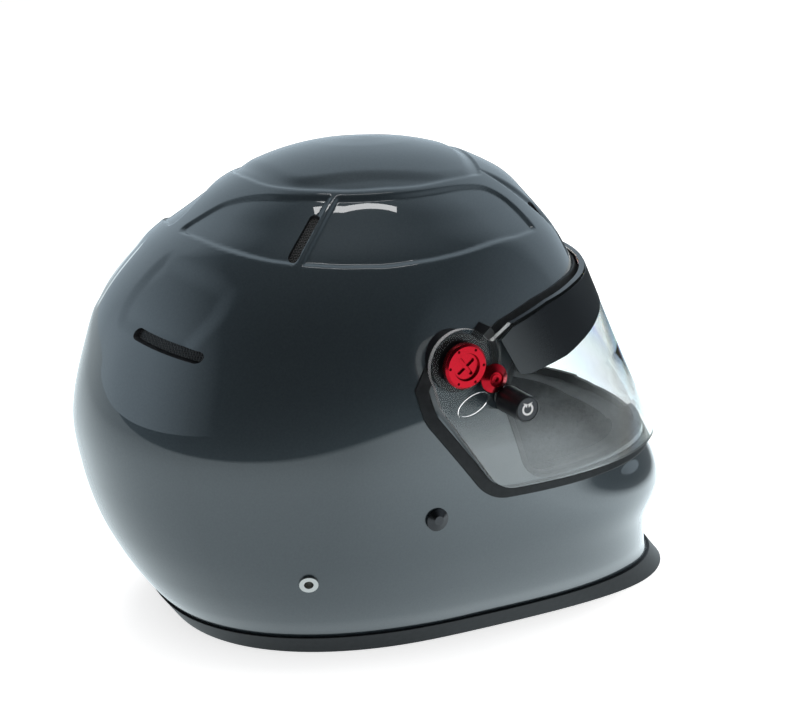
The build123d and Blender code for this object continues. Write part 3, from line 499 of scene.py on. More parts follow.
def inside_by(outline, a, b):
    """How far each place lies inside the outline; below zero outside it."""
    shape = a.shape
    a, b = a.ravel(), b.ravel()
    near = np.full(a.shape, 1.0)
    inside = np.zeros(a.shape, bool)
    for (a0, b0), (a1, b1) in zip(outline, np.roll(outline, -1, axis=0)):
        run_a, run_b = a1 - a0, b1 - b0
        t = np.clip(((a - a0) * run_a + (b - b0) * run_b) / max(run_a**2 + run_b**2, 1e-12), 0, 1)
        near = np.minimum(near, np.hypot(a - a0 - t * run_a, b - b0 - t * run_b))
        crosses = ((b0 > b) != (b1 > b))
        edge = run_a * (b - b0) / (run_b if run_b else 1e-12) + a0
        inside ^= crosses & (a < edge)
    return np.where(inside, near, -near).reshape(shape)


def eased(value, width):
    """Runs from 0 to 1 over the given width, and starts and ends level."""
    t = np.clip(value / width, 0, 1)
    return t * t * (3 - 2 * t)


print("halfway through a step:", float(eased(0.5, 1.0)))

# %% [markdown]
# All recesses go into one depth. Each has its own depth and its own width of step, in millimetres
# here: the pocket is the deepest of the large ones, and the scoop is only just felt.

# %% Depth of the recesses
pocket_depth, pocket_step = 1.5, 2.0 * mm
ridge_half, ridge_step = 0.8 * mm, 2.0 * mm
trough_depth, trough_step, trough_fade = 1.1, 2.2 * mm, 9 * mm
groove_depth, groove_step = 1.8, 5 * mm
scoop_depth, scoop_step = 0.9, 9 * mm
panel_depth, panel_step = 1.6, 3.5 * mm


def recess_depth(points):
    """How deep the paint lies under the plain oval form at each point."""
    x, y, z = -np.abs(points[..., 0]), points[..., 1], points[..., 2]
    depth = np.zeros(x.shape)
    high = z > 0.75 * shell_height
    inner = lambda outline: inside_by(rounded(outline, half_width, half_length), x[high], y[high])
    start, finish = np.array(divider) * [half_width, half_length]
    along = (finish - start) / np.linalg.norm(finish - start)
    from_ridge = np.abs((x[high] - start[0]) * along[1] - (y[high] - start[1]) * along[0])
    side_pocket = pocket_depth * eased(inner(pocket), pocket_step)
    side_pocket = side_pocket * eased(from_ridge - ridge_half, ridge_step)
    trough = trough_depth * eased(inner(crown_edge), trough_step) * eased(-inner(dome), trough_fade)
    groove = groove_depth * eased(inner(brow_groove), groove_step)
    depth[high] = np.maximum(np.maximum(side_pocket, trough), groove) * mm
    rear = y > 0.3 * half_length
    inset = inside_by(rounded(scoop, half_width, shell_height), x[rear], z[rear])
    depth[rear] = np.maximum(depth[rear], scoop_depth * mm * eased(inset, scoop_step))
    chin = (y < -0.3 * half_length) & (z < 0.5 * shell_height)
    inset = inside_by(rounded(chin_panel, half_width, shell_height, 2), x[chin], z[chin])
    depth[chin] = np.maximum(depth[chin], panel_depth * mm * eased(inset, panel_step))
    return depth


print("deepest recess, mm:", max(pocket_depth, trough_depth, groove_depth, scoop_depth, panel_depth))

# %% [markdown]
# Every piece made here starts as plain lists of points and faces. A prism runs an outline through
# the air, and serves for all straight cuts; several lists can be joined into one mesh. Its faces
# are then turned to look outward, because a boolean needs to know which side is solid.

# %% Meshes from points
def mesh_piece(name, points, faces, materials=()):
    """Object made of the given points and faces."""
    data = bpy.data.meshes.new(name)
    data.from_pydata([tuple(p) for p in points], [], faces)
    data.validate()
    obj = in_scene(name, data)
    for material in materials:
        data.materials.append(material)
    return obj


def prism(outline, start, finish, to_point):
    """Points and faces of a closed outline run from start to finish; to_point places each corner."""
    count = len(outline)
    points = [to_point(a, b, depth) for depth in (start, finish) for a, b in outline]
    faces = [[k, (k + 1) % count, count + (k + 1) % count, count + k] for k in range(count)]
    faces += [list(range(count))[::-1], list(range(count, 2 * count))]
    return points, faces


def joined(parts):
    """Several lists of points and faces as one."""
    points, faces = [], []
    for some_points, some_faces in parts:
        faces += [[k + len(points) for k in face] for face in some_faces]
        points += some_points
    return points, faces


def outward(obj):
    """Turns all faces of the object to look outward."""
    work = bmesh.new()
    work.from_mesh(obj.data)
    bmesh.ops.recalc_face_normals(work, faces=work.faces)
    work.to_mesh(obj.data)
    work.free()
    return obj


def across_helmet(outline):
    """Prism right through the helmet from an outline drawn from the side."""
    return prism(outline, -0.4, 0.4, lambda a, b, depth: (depth, a, b))


def both_sides(form):
    """A form and its mirror image."""
    points, faces = form
    return [form, ([(-x, y, z) for x, y, z in points], [face[::-1] for face in faces])]


print("faces of a square prism:", len(across_helmet([(0, 0), (1, 0), (1, 1), (0, 1)])[1]))

# %% [markdown]
# Corners on the real helmet are arcs, never points. The arc is worked out from the two edges that
# meet there: it touches both, and its centre lies on the line that halves the corner. Slots and
# bores are outlines of the same kind.

# %% Arcs, slots and circles
def corner_arc(before, corner, after, radius, steps=8, shared=False):
    """Places on the arc that rounds a corner; with shared, no more than half an edge is used up."""
    corner = Vector(corner)
    before, after = Vector(before) - corner, Vector(after) - corner
    room = min(before.length, after.length) / 2 if shared else math.inf
    before.normalize()
    after.normalize()
    half_angle = before.angle(after) / 2
    reach = min(radius / math.tan(half_angle), room)
    centre = corner + (before + after).normalized() * reach / math.cos(half_angle)
    first, last = corner + before * reach - centre, corner + after * reach - centre
    swing = -first.angle_signed(last)
    places = []
    for step in range(steps + 1):
        c, s = math.cos(swing * step / steps), math.sin(swing * step / steps)
        places.append(centre + Vector((first.x * c - first.y * s, first.x * s + first.y * c)))
    return places


def side_outline(shares, radii):
    """Outline from the side, in shares of half length and height; radii in millimetres by corner."""
    corners = [(y * half_length, z * shell_height) for y, z in shares]
    result = []
    for k, corner in enumerate(corners):
        if k in radii:
            following = corners[(k + 1) % len(corners)]
            result += [tuple(spot) for spot in corner_arc(corners[k - 1], corner, following, radii[k] * mm)]
        else:
            result.append(corner)
    return result


def slot_outline(ends, unit_a, unit_b, width, steps=10):
    """Round-ended slot between two places given in shares."""
    a = Vector((ends[0][0] * unit_a, ends[0][1] * unit_b))
    b = Vector((ends[1][0] * unit_a, ends[1][1] * unit_b))
    along = (b - a).normalized()
    angle = math.atan2(along.y, along.x)
    result = []
    for centre, start in ((b, angle - math.pi / 2), (a, angle + math.pi / 2)):
        for step in range(steps + 1):
            way = start + math.pi * step / steps
            result.append((centre.x + width / 2 * math.cos(way), centre.y + width / 2 * math.sin(way)))
    return result


def circle(radius, steps=32):
    """Round outline about the origin."""
    return [(radius * math.cos(math.tau * k / steps), radius * math.sin(math.tau * k / steps))
            for k in range(steps)]


print("places on a corner:", len(corner_arc((0, 1), (0, 0), (1, 0), 0.2)))

# %% [markdown]
# Openings are cut with solid forms, as a router would cut them: the eyeport from the side, the
# vent slots from above or from the ends, and the holes for the fasteners. The forms don't touch
# each other, so one boolean takes them all. The hole for the head restraint's insert is square to
# the shell; those for the hinge and the strap rivet run straight across the helmet.

# %% Cutting forms
eyeport = side_outline([(-1.15, .361), (-.175, .366), (-.090, .534), (-.135, .602), (-.338, .650),
                        (-.676, .699), (-1.15, .722)], {1: 16, 2: 7, 3: 7})
slot_width = 6 * mm
top_vent, brow_vent = [(-.484, .365), (-.578, .460)], [(-.375, -.435), (-.440, -.478)]
rear_vent, chin_vent = [(-.300, .668), (-.570, .643)], [(-.150, .188), (-.050, .188)]
plan = lambda a, b, depth: (a, b, depth)
level = lambda a, b, depth: (a, depth, b)
cuts = [across_helmet(eyeport)]
for vent in (top_vent, brow_vent):
    outline = slot_outline(vent, half_width, half_length, slot_width)
    cuts += both_sides(prism(outline, 0.65 * shell_height, 1.1 * shell_height, plan))
for vent, start, finish in ((rear_vent, 0.5, 1.3), (chin_vent, -1.3, -0.5)):
    outline = slot_outline(vent, half_width, shell_height, slot_width)
    cuts += both_sides(prism(outline, start * half_length, finish * half_length, level))

bore_reach = 10 * mm
straight_out = Vector((-1, 0, 0))
bores = [(Vector((-0.104083, 0.0905, 0.051)), Vector((-0.87553, 0.37696, -0.30225)), 4.1),
         (Vector((-0.1184, hinge_y, hinge_z)), straight_out, 5.1),
         (Vector((-0.1238, rivet_y, rivet_z)), straight_out, 2.6)]
for centre, way, radius in bores:
    turn_to = way.to_track_quat("Z", "Y")
    cuts += both_sides(prism(circle(radius * mm), -bore_reach, bore_reach,
                             lambda a, b, depth: tuple(centre + turn_to @ Vector((a, b, depth)))))
print("cutting forms:", len(cuts))

# %% [markdown]
# The laminate has two surfaces. The inner one comes from the same table, drawn in by the wall
# along the slant of each row, so that the wall is as thick at the crown as at the side. Both are
# grids of rings, whose faces follow one rule.

# %% Rings and the inner surface
def ring_faces(start, count, levels, flip=False):
    """Faces between rings of count points, from the point start on."""
    faces = []
    for level_number in range(levels - 1):
        a = start + level_number * count
        for k in range(count):
            face = [a + k, a + (k + 1) % count, a + count + (k + 1) % count, a + count + k]
            faces.append(face[::-1] if flip else face)
    return faces


def inner_table(depth):
    """The table for a surface that lies depth inside the painted one."""
    table = painted.copy()
    for k in range(len(table)):
        below, above = painted[max(k - 1, 0)], painted[min(k + 1, len(table) - 1)]
        climb_by = above[0] - below[0]
        spread = (above[1] - below[1]) / 2 + (above[2] - above[3] - below[2] + below[3]) / 4
        slant = math.hypot(climb_by, spread)
        inward, down = depth * climb_by / slant, -depth * spread / slant
        table[k, 0] -= down
        table[k, 1] -= inward
        table[k, 2] -= inward
        table[k, 3] += inward
    return table


print("inner height at the crown:", round(float(inner_table(wall)[-1, 0]), 4))

# %% [markdown]
# A boolean takes the forms out of the laminate, and the walls of a cut take the cutter's material.
# It leaves odd faces behind, which would show in the gloss. So each corner on the outside keeps
# the true direction of the smooth surface, looked up from the grid before the cut.

# %% Cutting without harm to the gloss
def apply_boolean(obj, cutter, operation):
    """Cuts or trims the object with the cutter, and removes the cutter."""
    change = obj.modifiers.new("cut", "BOOLEAN")
    change.object = cutter
    change.operation = operation
    change.solver = "EXACT"
    change.material_mode = "TRANSFER"
    evaluated = obj.evaluated_get(bpy.context.evaluated_depsgraph_get())
    data = bpy.data.meshes.new_from_object(evaluated)
    obj.modifiers.clear()
    old = obj.data
    obj.data = data
    bpy.data.meshes.remove(old)
    bpy.data.objects.remove(cutter)


def keep_surface_directions(obj, source_points, source_faces, source_normals, smooth_slots=(0,)):
    """Corners of faces in smooth_slots take the direction of the smooth source surface."""
    data = obj.data
    tree = BVHTree.FromPolygons([tuple(p) for p in source_points], source_faces)
    count = len(data.vertices)
    place_of = np.empty(count * 3)
    data.vertices.foreach_get("co", place_of)
    place_of = place_of.reshape(-1, 3)
    direction = np.zeros((count, 3))
    normals = np.asarray(source_normals)
    points = np.asarray(source_points)
    for k in range(count):
        _, _, face, _ = tree.find_nearest(place_of[k])
        corners = source_faces[face]
        weight = 1 / (np.linalg.norm(points[corners] - place_of[k], axis=1) + 1e-7) ** 2
        direction[k] = (normals[corners] * weight[:, None]).sum(axis=0)
    direction /= np.maximum(np.linalg.norm(direction, axis=1, keepdims=True), 1e-12)
    loop_vertex = np.empty(len(data.loops), np.int32)
    data.loops.foreach_get("vertex_index", loop_vertex)
    slot_of = np.empty(len(data.polygons), np.int32)
    data.polygons.foreach_get("material_index", slot_of)
    sizes = np.empty(len(data.polygons), np.int32)
    data.polygons.foreach_get("loop_total", sizes)
    flat = np.empty(len(data.polygons) * 3)
    data.polygons.foreach_get("normal", flat)
    corner_normals = np.repeat(flat.reshape(-1, 3), sizes, axis=0)
    smooth = np.repeat(np.isin(slot_of, smooth_slots), sizes)
    wanted = direction[loop_vertex]
    wanted = np.where((wanted * corner_normals).sum(axis=1, keepdims=True) < 0, -wanted, wanted)
    corner_normals = np.where(smooth[:, None], wanted, corner_normals)
    data.polygons.foreach_set("use_smooth", np.ones(len(data.polygons), bool))
    data.normals_split_custom_set(corner_normals)


print("tools for cuts:", [tool.__name__ for tool in (apply_boolean, keep_surface_directions)])

# %% [markdown]
# Now the shell itself: the outside grid with its recesses pressed in, the plain inside grid, and
# a ring of faces that closes the foot. The recesses go in along the surface's own direction, as a
# mould would press them. The outside is painted and the inside is bare woven laminate.

# %% Shell's points and faces
spacing, around = ((1.15 * mm, 520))
heights = even_heights(painted, 3 * mm, spacing)
outside = section(painted, heights, around)
outside_normals = grid_normals(outside)
outside = outside - outside_normals * recess_depth(outside)[..., None]
outside_normals = grid_normals(outside)
inside_rows = inner_table(wall)
inside_heights = even_heights(inside_rows, 3 * mm, 3 * mm)
inside_around = around // 2
inside = section(inside_rows, inside_heights, inside_around)
levels = len(heights)
outer_points = np.concatenate([outside.reshape(-1, 3), outside[-1].mean(axis=0)[None]])
points = np.concatenate([outer_points, inside.reshape(-1, 3), inside[-1].mean(axis=0)[None]])
top = levels * around
faces = ring_faces(0, around, levels)
faces += [[top - around + k, top - around + (k + 1) % around, top] for k in range(around)]
outer_faces = len(faces)
start = top + 1
faces += ring_faces(start, inside_around, len(inside_heights), flip=True)
inner_top = start + len(inside_heights) * inside_around
last_ring = inner_top - inside_around
faces += [[last_ring + (k + 1) % inside_around, last_ring + k, inner_top] for k in range(inside_around)]
for k in range(inside_around):
    a, b, c = 2 * k, (2 * k + 1) % around, (2 * k + 2) % around
    d, e = start + k, start + (k + 1) % inside_around
    faces += [[b, a, d], [b, d, e], [c, b, e]]
print("points:", len(points), "faces:", len(faces))

# %% [markdown]
# The mesh gets its three materials, paint outside, laminate inside and rubber in the cuts, and is
# then cut in one go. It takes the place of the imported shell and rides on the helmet's body.

# %% Shell
laminate, tree, shader = finish_of("raw_laminate", Roughness=0.6)
two_tone(tree, shader, weave(tree, 2.2 * mm), (0.012, 0.012, 0.013), (0.03, 0.03, 0.032))
shell = outward(mesh_piece("shell_painted", points, faces, (paint, laminate, rubber)))
slots_of = np.zeros(len(faces), np.int32)
slots_of[outer_faces:] = 1
shell.data.polygons.foreach_set("material_index", slots_of)
cutter = outward(mesh_piece("cutter", *joined(cuts), (rubber,)))
apply_boolean(shell, cutter, "DIFFERENCE")
outer_directions = np.concatenate([outside_normals.reshape(-1, 3), [[0, 0, 1]]])
keep_surface_directions(shell, outer_points, faces[:outer_faces], outer_directions, (0, 1))
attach(shell, "helmet")
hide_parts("shell")
print("shell faces:", len(shell.data.polygons), [m.name for m in shell.data.materials])

# %% [markdown]
# The shield is a sheet bent once round the face and flat at the ears, where it is hinged. Seen
# from above it is half a superellipse in front of two straight sides, and it leans back as it
# rises. Below the hinge it flares out a little, to pass outside the chin. One function gives the
# surface at any depth, for the sheet's two faces and for the strip.

# %% Shield form
shield_wall = 3.0 * mm
ear_face, ear_end = 0.129, 0.045    # how far out the ears lie, and how far back they run
bend_y, bend_power = 0.012, 2.3
flare, flare_top, flare_run = 2.2 * mm, 0.515 * shell_height, 0.215 * shell_height
nose_y, nose_z, lean = -0.1728, 0.0885, 0.56


def shield_grid(depth, heights, around):
    """Grid of points on the surface that lies depth behind the shield's outer face."""
    flared = np.clip((flare_top - heights) / flare_run, 0, 1)
    half = (ear_face + flare * flared - depth)[:, None]
    front = (nose_y + (heights - nose_z) * lean + depth)[:, None]
    side_steps = around // 10
    angle = np.linspace(0, math.pi, around)[None, :]
    across, along = np.abs(np.cos(angle)), np.sin(angle)
    reach = (across ** bend_power + np.abs(along) ** bend_power) ** (-1 / bend_power)
    x = half * np.cos(angle) * reach
    y = bend_y - (bend_y - front) * along * reach
    side_y = np.linspace(ear_end, bend_y, side_steps, endpoint=False)[None, :]
    side_x = np.repeat(half, side_steps, axis=1)
    side_y = np.repeat(side_y, len(heights), axis=0)
    x = np.concatenate([side_x, x, -side_x[:, ::-1]], axis=1)
    y = np.concatenate([side_y, y, side_y[:, ::-1]], axis=1)
    z = np.repeat(heights[:, None], x.shape[1], axis=1)
    return np.stack([x, y, z], axis=-1)


def sheet_normals(points):
    """Direction away from the head at each point of a sheet."""
    normal = np.cross(np.gradient(points, axis=1), np.gradient(points, axis=0))
    normal /= np.linalg.norm(normal, axis=-1, keepdims=True)
    outward_way = (normal[..., 1] * (points[..., 1] - 0.05) + normal[..., 0] * points[..., 0]) > 0
    return np.where(outward_way[..., None], normal, -normal)


nose_row = shield_grid(0, np.array([nose_z]), 21)
print("front of the shield at its foot:", round(float(nose_row[..., 1].min()), 4))

# %% [markdown]
# A sheet is two such surfaces joined along their rims. It starts larger than needed, and is then
# trimmed to its outline and bored, as a real shield is milled from a bent blank. The smooth
# directions come from the form again, so the clear sheet mirrors without ripples.

# %% Bent and trimmed sheets
sheet_foot, sheet_top, sheet_rows, sheet_columns = 0.080, 0.2128, 70, 220


def bent_sheet(name, outer_depth, inner_depth, materials):
    """Closed band between two depths of the shield's form, with its true surface directions."""
    heights = np.linspace(sheet_foot, sheet_top, sheet_rows)
    outer = shield_grid(outer_depth, heights, sheet_columns)
    inner = shield_grid(inner_depth, heights, sheet_columns)
    high, wide = outer.shape[:2]
    points = np.concatenate([outer.reshape(-1, 3), inner.reshape(-1, 3)])
    faces, shift = [], high * wide
    for a in range(high - 1):
        for b in range(wide - 1):
            k = a * wide + b
            faces.append([k, k + 1, k + wide + 1, k + wide])
            faces.append([shift + k, shift + k + wide, shift + k + wide + 1, shift + k + 1])
    main = len(faces)
    for b in range(wide - 1):
        k, m = b, (high - 1) * wide + b
        faces += [[k + 1, k, shift + k, shift + k + 1], [m, m + 1, shift + m + 1, shift + m]]
    for a in range(high - 1):
        k, m = a * wide, a * wide + wide - 1
        faces += [[k, k + wide, shift + k + wide, shift + k], [m + wide, m, shift + m, shift + m + wide]]
    obj = outward(mesh_piece(name, points, faces, materials))
    directions = np.concatenate([sheet_normals(outer).reshape(-1, 3), sheet_normals(inner).reshape(-1, 3)])
    return obj, points, faces[:main], directions


def trimmed(name, depths, materials, outline, holes, body, node):
    """A bent sheet cut to an outline and bored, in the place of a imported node."""
    obj, points, faces, directions = bent_sheet(name, *depths, materials)
    cutter = outward(mesh_piece(name + "_outline", *across_helmet(outline), materials[-1:]))
    apply_boolean(obj, cutter, "INTERSECT")
    if holes:
        cutter = outward(mesh_piece(name + "_holes", *joined(holes), materials[-1:]))
        apply_boolean(obj, cutter, "DIFFERENCE")
    keep_surface_directions(obj, points, faces, directions)
    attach(obj, body)
    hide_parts(node)
    print(name, "faces:", len(obj.data.polygons))
    return obj


print("sheet rows and columns:", sheet_rows, sheet_columns)

# %% [markdown]
# The shield's outline is drawn from the side and sweeps round the ear in an arc that is centred
# on the hinge. The arc is worked out from where it leaves the straight edges, so one outline
# serves and no second solid has to be joined on.

# %% Round ear
hinge = Vector((hinge_y, hinge_z))
ear_radius, ear_steps = 18.5 * mm, 32


def with_ear(outline):
    """The outline with all that lies inside the ear's circle replaced by the circle's arc."""
    count = len(outline)

    def crossing(a, b):
        """Where the edge crosses the ear's circle, as shares of the edge."""
        a, b = Vector(a) - hinge, Vector(b) - hinge
        run = b - a
        p, q, r = run.dot(run), 2 * a.dot(run), a.dot(a) - ear_radius**2
        under_root = q * q - 4 * p * r
        if under_root < 0:
            return [], a, run
        root = math.sqrt(under_root)
        return sorted(t for t in ((-q - root) / 2 / p, (-q + root) / 2 / p) if 0 <= t <= 1), a, run

    hits = []
    for k in range(count):
        found, a, run = crossing(outline[k], outline[(k + 1) % count])
        hits += [(k + t, a + run * t) for t in found]
    hits.sort(key=lambda hit: hit[0])
    first, last = hits[0], hits[-1]
    start, finish = math.atan2(first[1].y, first[1].x), math.atan2(last[1].y, last[1].x)
    while finish < start:
        finish += math.tau
    result = [outline[k] for k in range(int(first[0]) + 1)]
    for step in range(ear_steps + 1):
        way = start + (finish - start) * step / ear_steps
        result.append((hinge.x + ear_radius * math.cos(way), hinge.y + ear_radius * math.sin(way)))
    result += [outline[k] for k in range(int(last[0]) + 1, count)]
    return result


print("ear radius:", ear_radius)

# %% [markdown]
# The shield and its strip are two sheets of the same form. The strip lies on the outside like a
# stuck film. Holes let the hinge screw, the lock screw and the tear-off knob's spindle through.
# The top rim of the shield, ahead of the ears, is dark as well, because the film is seen from
# above through the clear edge.

# %% Shield and strip
shield_outline = with_ear(side_outline(
    [(-1.15, .327), (-.051, .355), (.146, .541), (.183, .624), (.079, .690), (-.020, .662), (-.085, .691),
     (-.225, .720), (-.372, .737), (-.676, .759), (-1.15, .774)], {1: 20, 2: 18}))
strip_outline = side_outline(
    [(-.050, .662), (-.090, .683), (-.228, .713), (-.374, .730), (-.676, .752), (-1.15, .767), (-1.15, .750),
     (-.563, .655), (-.315, .600), (-.163, .583), (-.121, .585)], {10: 5})


def side_hole(y, z, radius):
    """Bores across both ears, with the radius in millimetres."""
    return both_sides(prism(circle(radius * mm), -0.14, -0.10, lambda a, b, depth: (depth, y + a, z + b)))


shield_holes = side_hole(hinge_y, hinge_z, 8.1)
shield_holes += side_hole(lock_y, lock_z, 1.6)
shield_holes += side_hole(knob_y, knob_z, 4.1)
visor = trimmed("shield_clear", (0.0, shield_wall), (clear_shield, shield_edge), shield_outline,
                shield_holes, "shield", "visor")
visor.data.materials.append(strip_finish)
rim_front, rim_low = -0.012, 0.17
for face in visor.data.polygons:
    if face.material_index == 1 and face.center.y < rim_front and face.center.z > rim_low:
        face.material_index = 2
trimmed("shield_strip", (-0.3 * mm, 0.02 * mm), (strip_finish, strip_finish), strip_outline,
        [], "shield", "sunstrip")

# %% [markdown]
# A raised oval on each ear gives the fingers something to push. It is moulded with the shield and
# just as clear: a rounded bead that runs round an ellipse. Sweeping a small half-round section
# along the ellipse makes it in one go.

# %% Finger lips
side_name = {-1: "right", 1: "left"}
lip_y, lip_z, lip_tilt = 0.0072, 0.1434, math.radians(-25)
lip_long, lip_short = 9.35 * mm, 4.85 * mm
bead_half, bead_height = 0.65 * mm, 1.15 * mm


def swept_loop(path, section_points, frames):
    """Mesh of a closed section carried round a closed path; frames give two directions per place."""
    points = []
    for centre, (one, two) in zip(path, frames):
        points += [centre + one * a + two * b for a, b in section_points]
    count = len(section_points)
    last = len(points) - count
    faces = ring_faces(0, count, len(path))
    faces += [[last + k, last + (k + 1) % count, (k + 1) % count, k] for k in range(count)]
    return points, faces


def shade_smooth(obj):
    """Blends the light over all faces of the object."""
    for face in obj.data.polygons:
        face.use_smooth = True


def finger_lip(side, places=96):
    """Bead on the ear of the given side, -1 for the right and 1 for the left."""
    c, s = math.cos(lip_tilt), math.sin(lip_tilt)
    path, frames = [], []
    for step in range(places):
        t = math.tau * step / places
        a, b = lip_long * math.cos(t), lip_short * math.sin(t)
        away = Vector((0, math.cos(t) / lip_long, math.sin(t) / lip_short)).normalized()
        path.append(Vector((side * (ear_face + 0.05 * mm), lip_y + a * c - b * s, lip_z + a * s + b * c)))
        turned_away = Vector((0, away.y * c - away.z * s, away.y * s + away.z * c))
        frames.append((turned_away, Vector((side, 0, 0))))
    arch = [(-math.cos(math.pi * k / 8), math.sin(math.pi * k / 8) ** 0.6) for k in range(1, 8)]
    shape = [(bead_half * a, bead_height * b) for a, b in [(-1, 0), *arch, (1, 0)]]
    points, faces = swept_loop(path, shape, frames)
    lip = outward(mesh_piece(f"finger_lip_{side_name[side]}", points, faces, (clear_shield,)))
    shade_smooth(lip)
    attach(lip, "shield")
    return lip


lips = [finger_lip(side) for side in (-1, 1)]
print("finger lips:", len(lips))

# %% [markdown]
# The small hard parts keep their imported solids, which have the right shapes, and only get better
# finishes. The big and the small red screws each have their own centre for the lathe rings.

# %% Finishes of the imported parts
def dress(material, *names):
    """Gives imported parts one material."""
    for name in names:
        part = nodes[name]
        part.data.materials.clear()
        part.data.materials.append(material)


def sides(name):
    """Names of the right and the left part."""
    return name + "_right", name + "_left"


dress(red_pivot, *sides("pivot_screw"))
dress(red_lock, *sides("lock_screw"))
dress(plastic, *sides("pivot_plate"), *sides("tear_off_knob"), *sides("detent_follower"))
dress(disc, *sides("knob_face"))
dress(rubber, "base_trim", "shield_seal", "eyeport_bead")
for vent in ("top", "rear", "brow", "chin"):
    dress(mesh_finish, *sides(vent + "_vent_mesh"))
dress(nickel, "pivot_nuts", "small_ring", "big_ring", *sides("anchor_insert"), *sides("strap_washer"),
      *sides("knob_spindle"))
dress(black_steel, "strap_snap", *sides("strap_rivet"))
dress(foam, "crown_liner", "chin_liner")
print("hinge screws wear:", nodes["pivot_screw_right"].data.materials[0].name)

# %% [markdown]
# The knob's end carries a white mark: an open ring with an arrowhead at each end, which says that
# it turns both ways. It is a thin raised print, built as a flat strip along an arc.

# %% Knob marks
mark_white, tree, shader = finish_of("white_print", Roughness=0.5)
two_tone(tree, shader, noise(tree, 2000.0), (0.80, 0.80, 0.80), (0.88, 0.88, 0.88))


def knob_mark(side):
    """Printed mark on the knob of the given side."""
    low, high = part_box("knob_face_right" if side < 0 else "knob_face_left")
    face_x = low.x if side < 0 else high.x
    start, finish, radius, width = math.radians(128), math.radians(412), 2.75 * mm, 0.55 * mm
    barb, head = 3.2 * width, 0.62    # how far the arrowhead reaches aside, and ahead in radians
    tip = lambda way, r: (r * math.cos(way), r * math.sin(way))
    outline = [tip(start + (finish - start) * step / 40, radius + width) for step in range(41)]
    outline += [tip(finish, radius + barb), tip(finish + head, radius), tip(finish, radius - barb)]
    outline += [tip(finish + (start - finish) * step / 40, radius - width) for step in range(41)]
    outline += [tip(start, radius - barb), tip(start - head, radius), tip(start, radius + barb)]
    points, faces = prism(outline, 0.02 * mm, 0.12 * mm,
                          lambda a, b, depth: (face_x + side * depth, knob_y + a, knob_z + b))
    mark = outward(mesh_piece(f"knob_mark_{side_name[side]}", points, faces, (mark_white,)))
    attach(mark, "right_knob" if side < 0 else "left_knob")
    return mark


marks = [knob_mark(side) for side in (-1, 1)]
print("knob marks:", len(marks))

# %% [markdown]
# The pads inside are foam in a knitted cover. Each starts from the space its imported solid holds,
# is remeshed evenly, drawn in a little and then blown up as cloth for twenty frames, so that its
# faces crown and its edges round off as a sewn cover does. A cap on the movement keeps every pad
# clear of its neighbours.

# %% Pad tools
blown_frames = 20


def copy_of(node, name):
    """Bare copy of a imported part."""
    obj = in_scene(name, nodes[node].data.copy())
    obj.data.materials.clear()
    return obj


def made_real(obj):
    """Turns the object's modifiers into plain mesh."""
    evaluated = obj.evaluated_get(bpy.context.evaluated_depsgraph_get())
    data = bpy.data.meshes.new_from_object(evaluated)
    obj.modifiers.clear()
    obj.data = data


def coordinates(obj):
    """All points of the object as rows of x, y and z."""
    values = np.empty(len(obj.data.vertices) * 3)
    obj.data.vertices.foreach_get("co", values)
    return values.reshape(-1, 3)


def blown(pad, pressure, cap):
    """Blows the pad up as cloth; no point moves further than the cap."""
    before = coordinates(pad)
    cloth = pad.modifiers.new("blown", "CLOTH")
    cloth.settings.use_pressure = True
    cloth.settings.uniform_pressure_force = pressure
    cloth.settings.effector_weights.gravity = 0
    cloth.settings.quality = 4
    for frame_number in range(1, blown_frames + 1):
        bpy.context.scene.frame_set(frame_number)
    made_real(pad)
    bpy.context.scene.frame_set(1)
    move = coordinates(pad) - before
    length = np.linalg.norm(move, axis=1, keepdims=True)
    after = before + move * np.minimum(1, cap / np.maximum(length, 1e-9))
    pad.data.vertices.foreach_set("co", after.ravel())


print("frames of blowing up:", blown_frames)

# %% [markdown]
# Fill says how much of the cover the foam takes up; the head lining is thin and soft, so it is
# drawn in less and filled less.

# %% Pads
def sewn_pad(node, name, voxel, draw_in, cap, pressure):
    """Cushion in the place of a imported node."""
    pad = copy_of(node, name)
    remesh = pad.modifiers.new("even", "REMESH")
    remesh.mode = "VOXEL"
    remesh.voxel_size = voxel
    made_real(pad)
    soften = pad.modifiers.new("soft", "SMOOTH")
    soften.iterations = 6
    soften.factor = 0.5
    shrink = pad.modifiers.new("drawn_in", "DISPLACE")
    shrink.mid_level = 0.0
    shrink.strength = -draw_in
    made_real(pad)
    blown(pad, pressure, cap)
    finer = pad.modifiers.new("finer", "SUBSURF")
    finer.levels = finer.render_levels = 1
    made_real(pad)
    pad.data.materials.append(lining)
    shade_smooth(pad)
    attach(pad, "helmet")
    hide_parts(node)
    print(name, "points:", len(pad.data.vertices))
    return pad


for side in ("right", "left"):
    sewn_pad(f"cheek_pad_{side}", f"cheek_cushion_{side}", voxel=4 * mm, draw_in=2.4 * mm,
             cap=2.2 * mm, pressure=4.0)
sewn_pad("neck_roll", "neck_cushion", voxel=4 * mm, draw_in=2.2 * mm,
         cap=2.0 * mm, pressure=4.0)
sewn_pad("comfort_liner", "head_lining", voxel=3.5 * mm, draw_in=1.0 * mm,
         cap=0.9 * mm, pressure=2.0)

# %% [markdown]
# The chin strap is flat webbing. It comes down the inside of the shell on both sides, and the
# right end is folded back under a snap. Webbing is too thin to simulate here, so it is a ribbon
# with rounded edges that follows the strap's route, bent through small radii at each fold.

# %% Ribbon along a route
strap_y, strap_half, strap_wall = rivet_y, 12.5 * mm, 2.0 * mm
edge_radius = 0.9 * mm


def rounded_route(corners, radius):
    """Open route whose corners are arcs."""
    route = [Vector(corners[0])]
    for before, corner, after in zip(corners, corners[1:], corners[2:]):
        route += corner_arc(before, corner, after, radius, shared=True)
    route.append(Vector(corners[-1]))
    return route


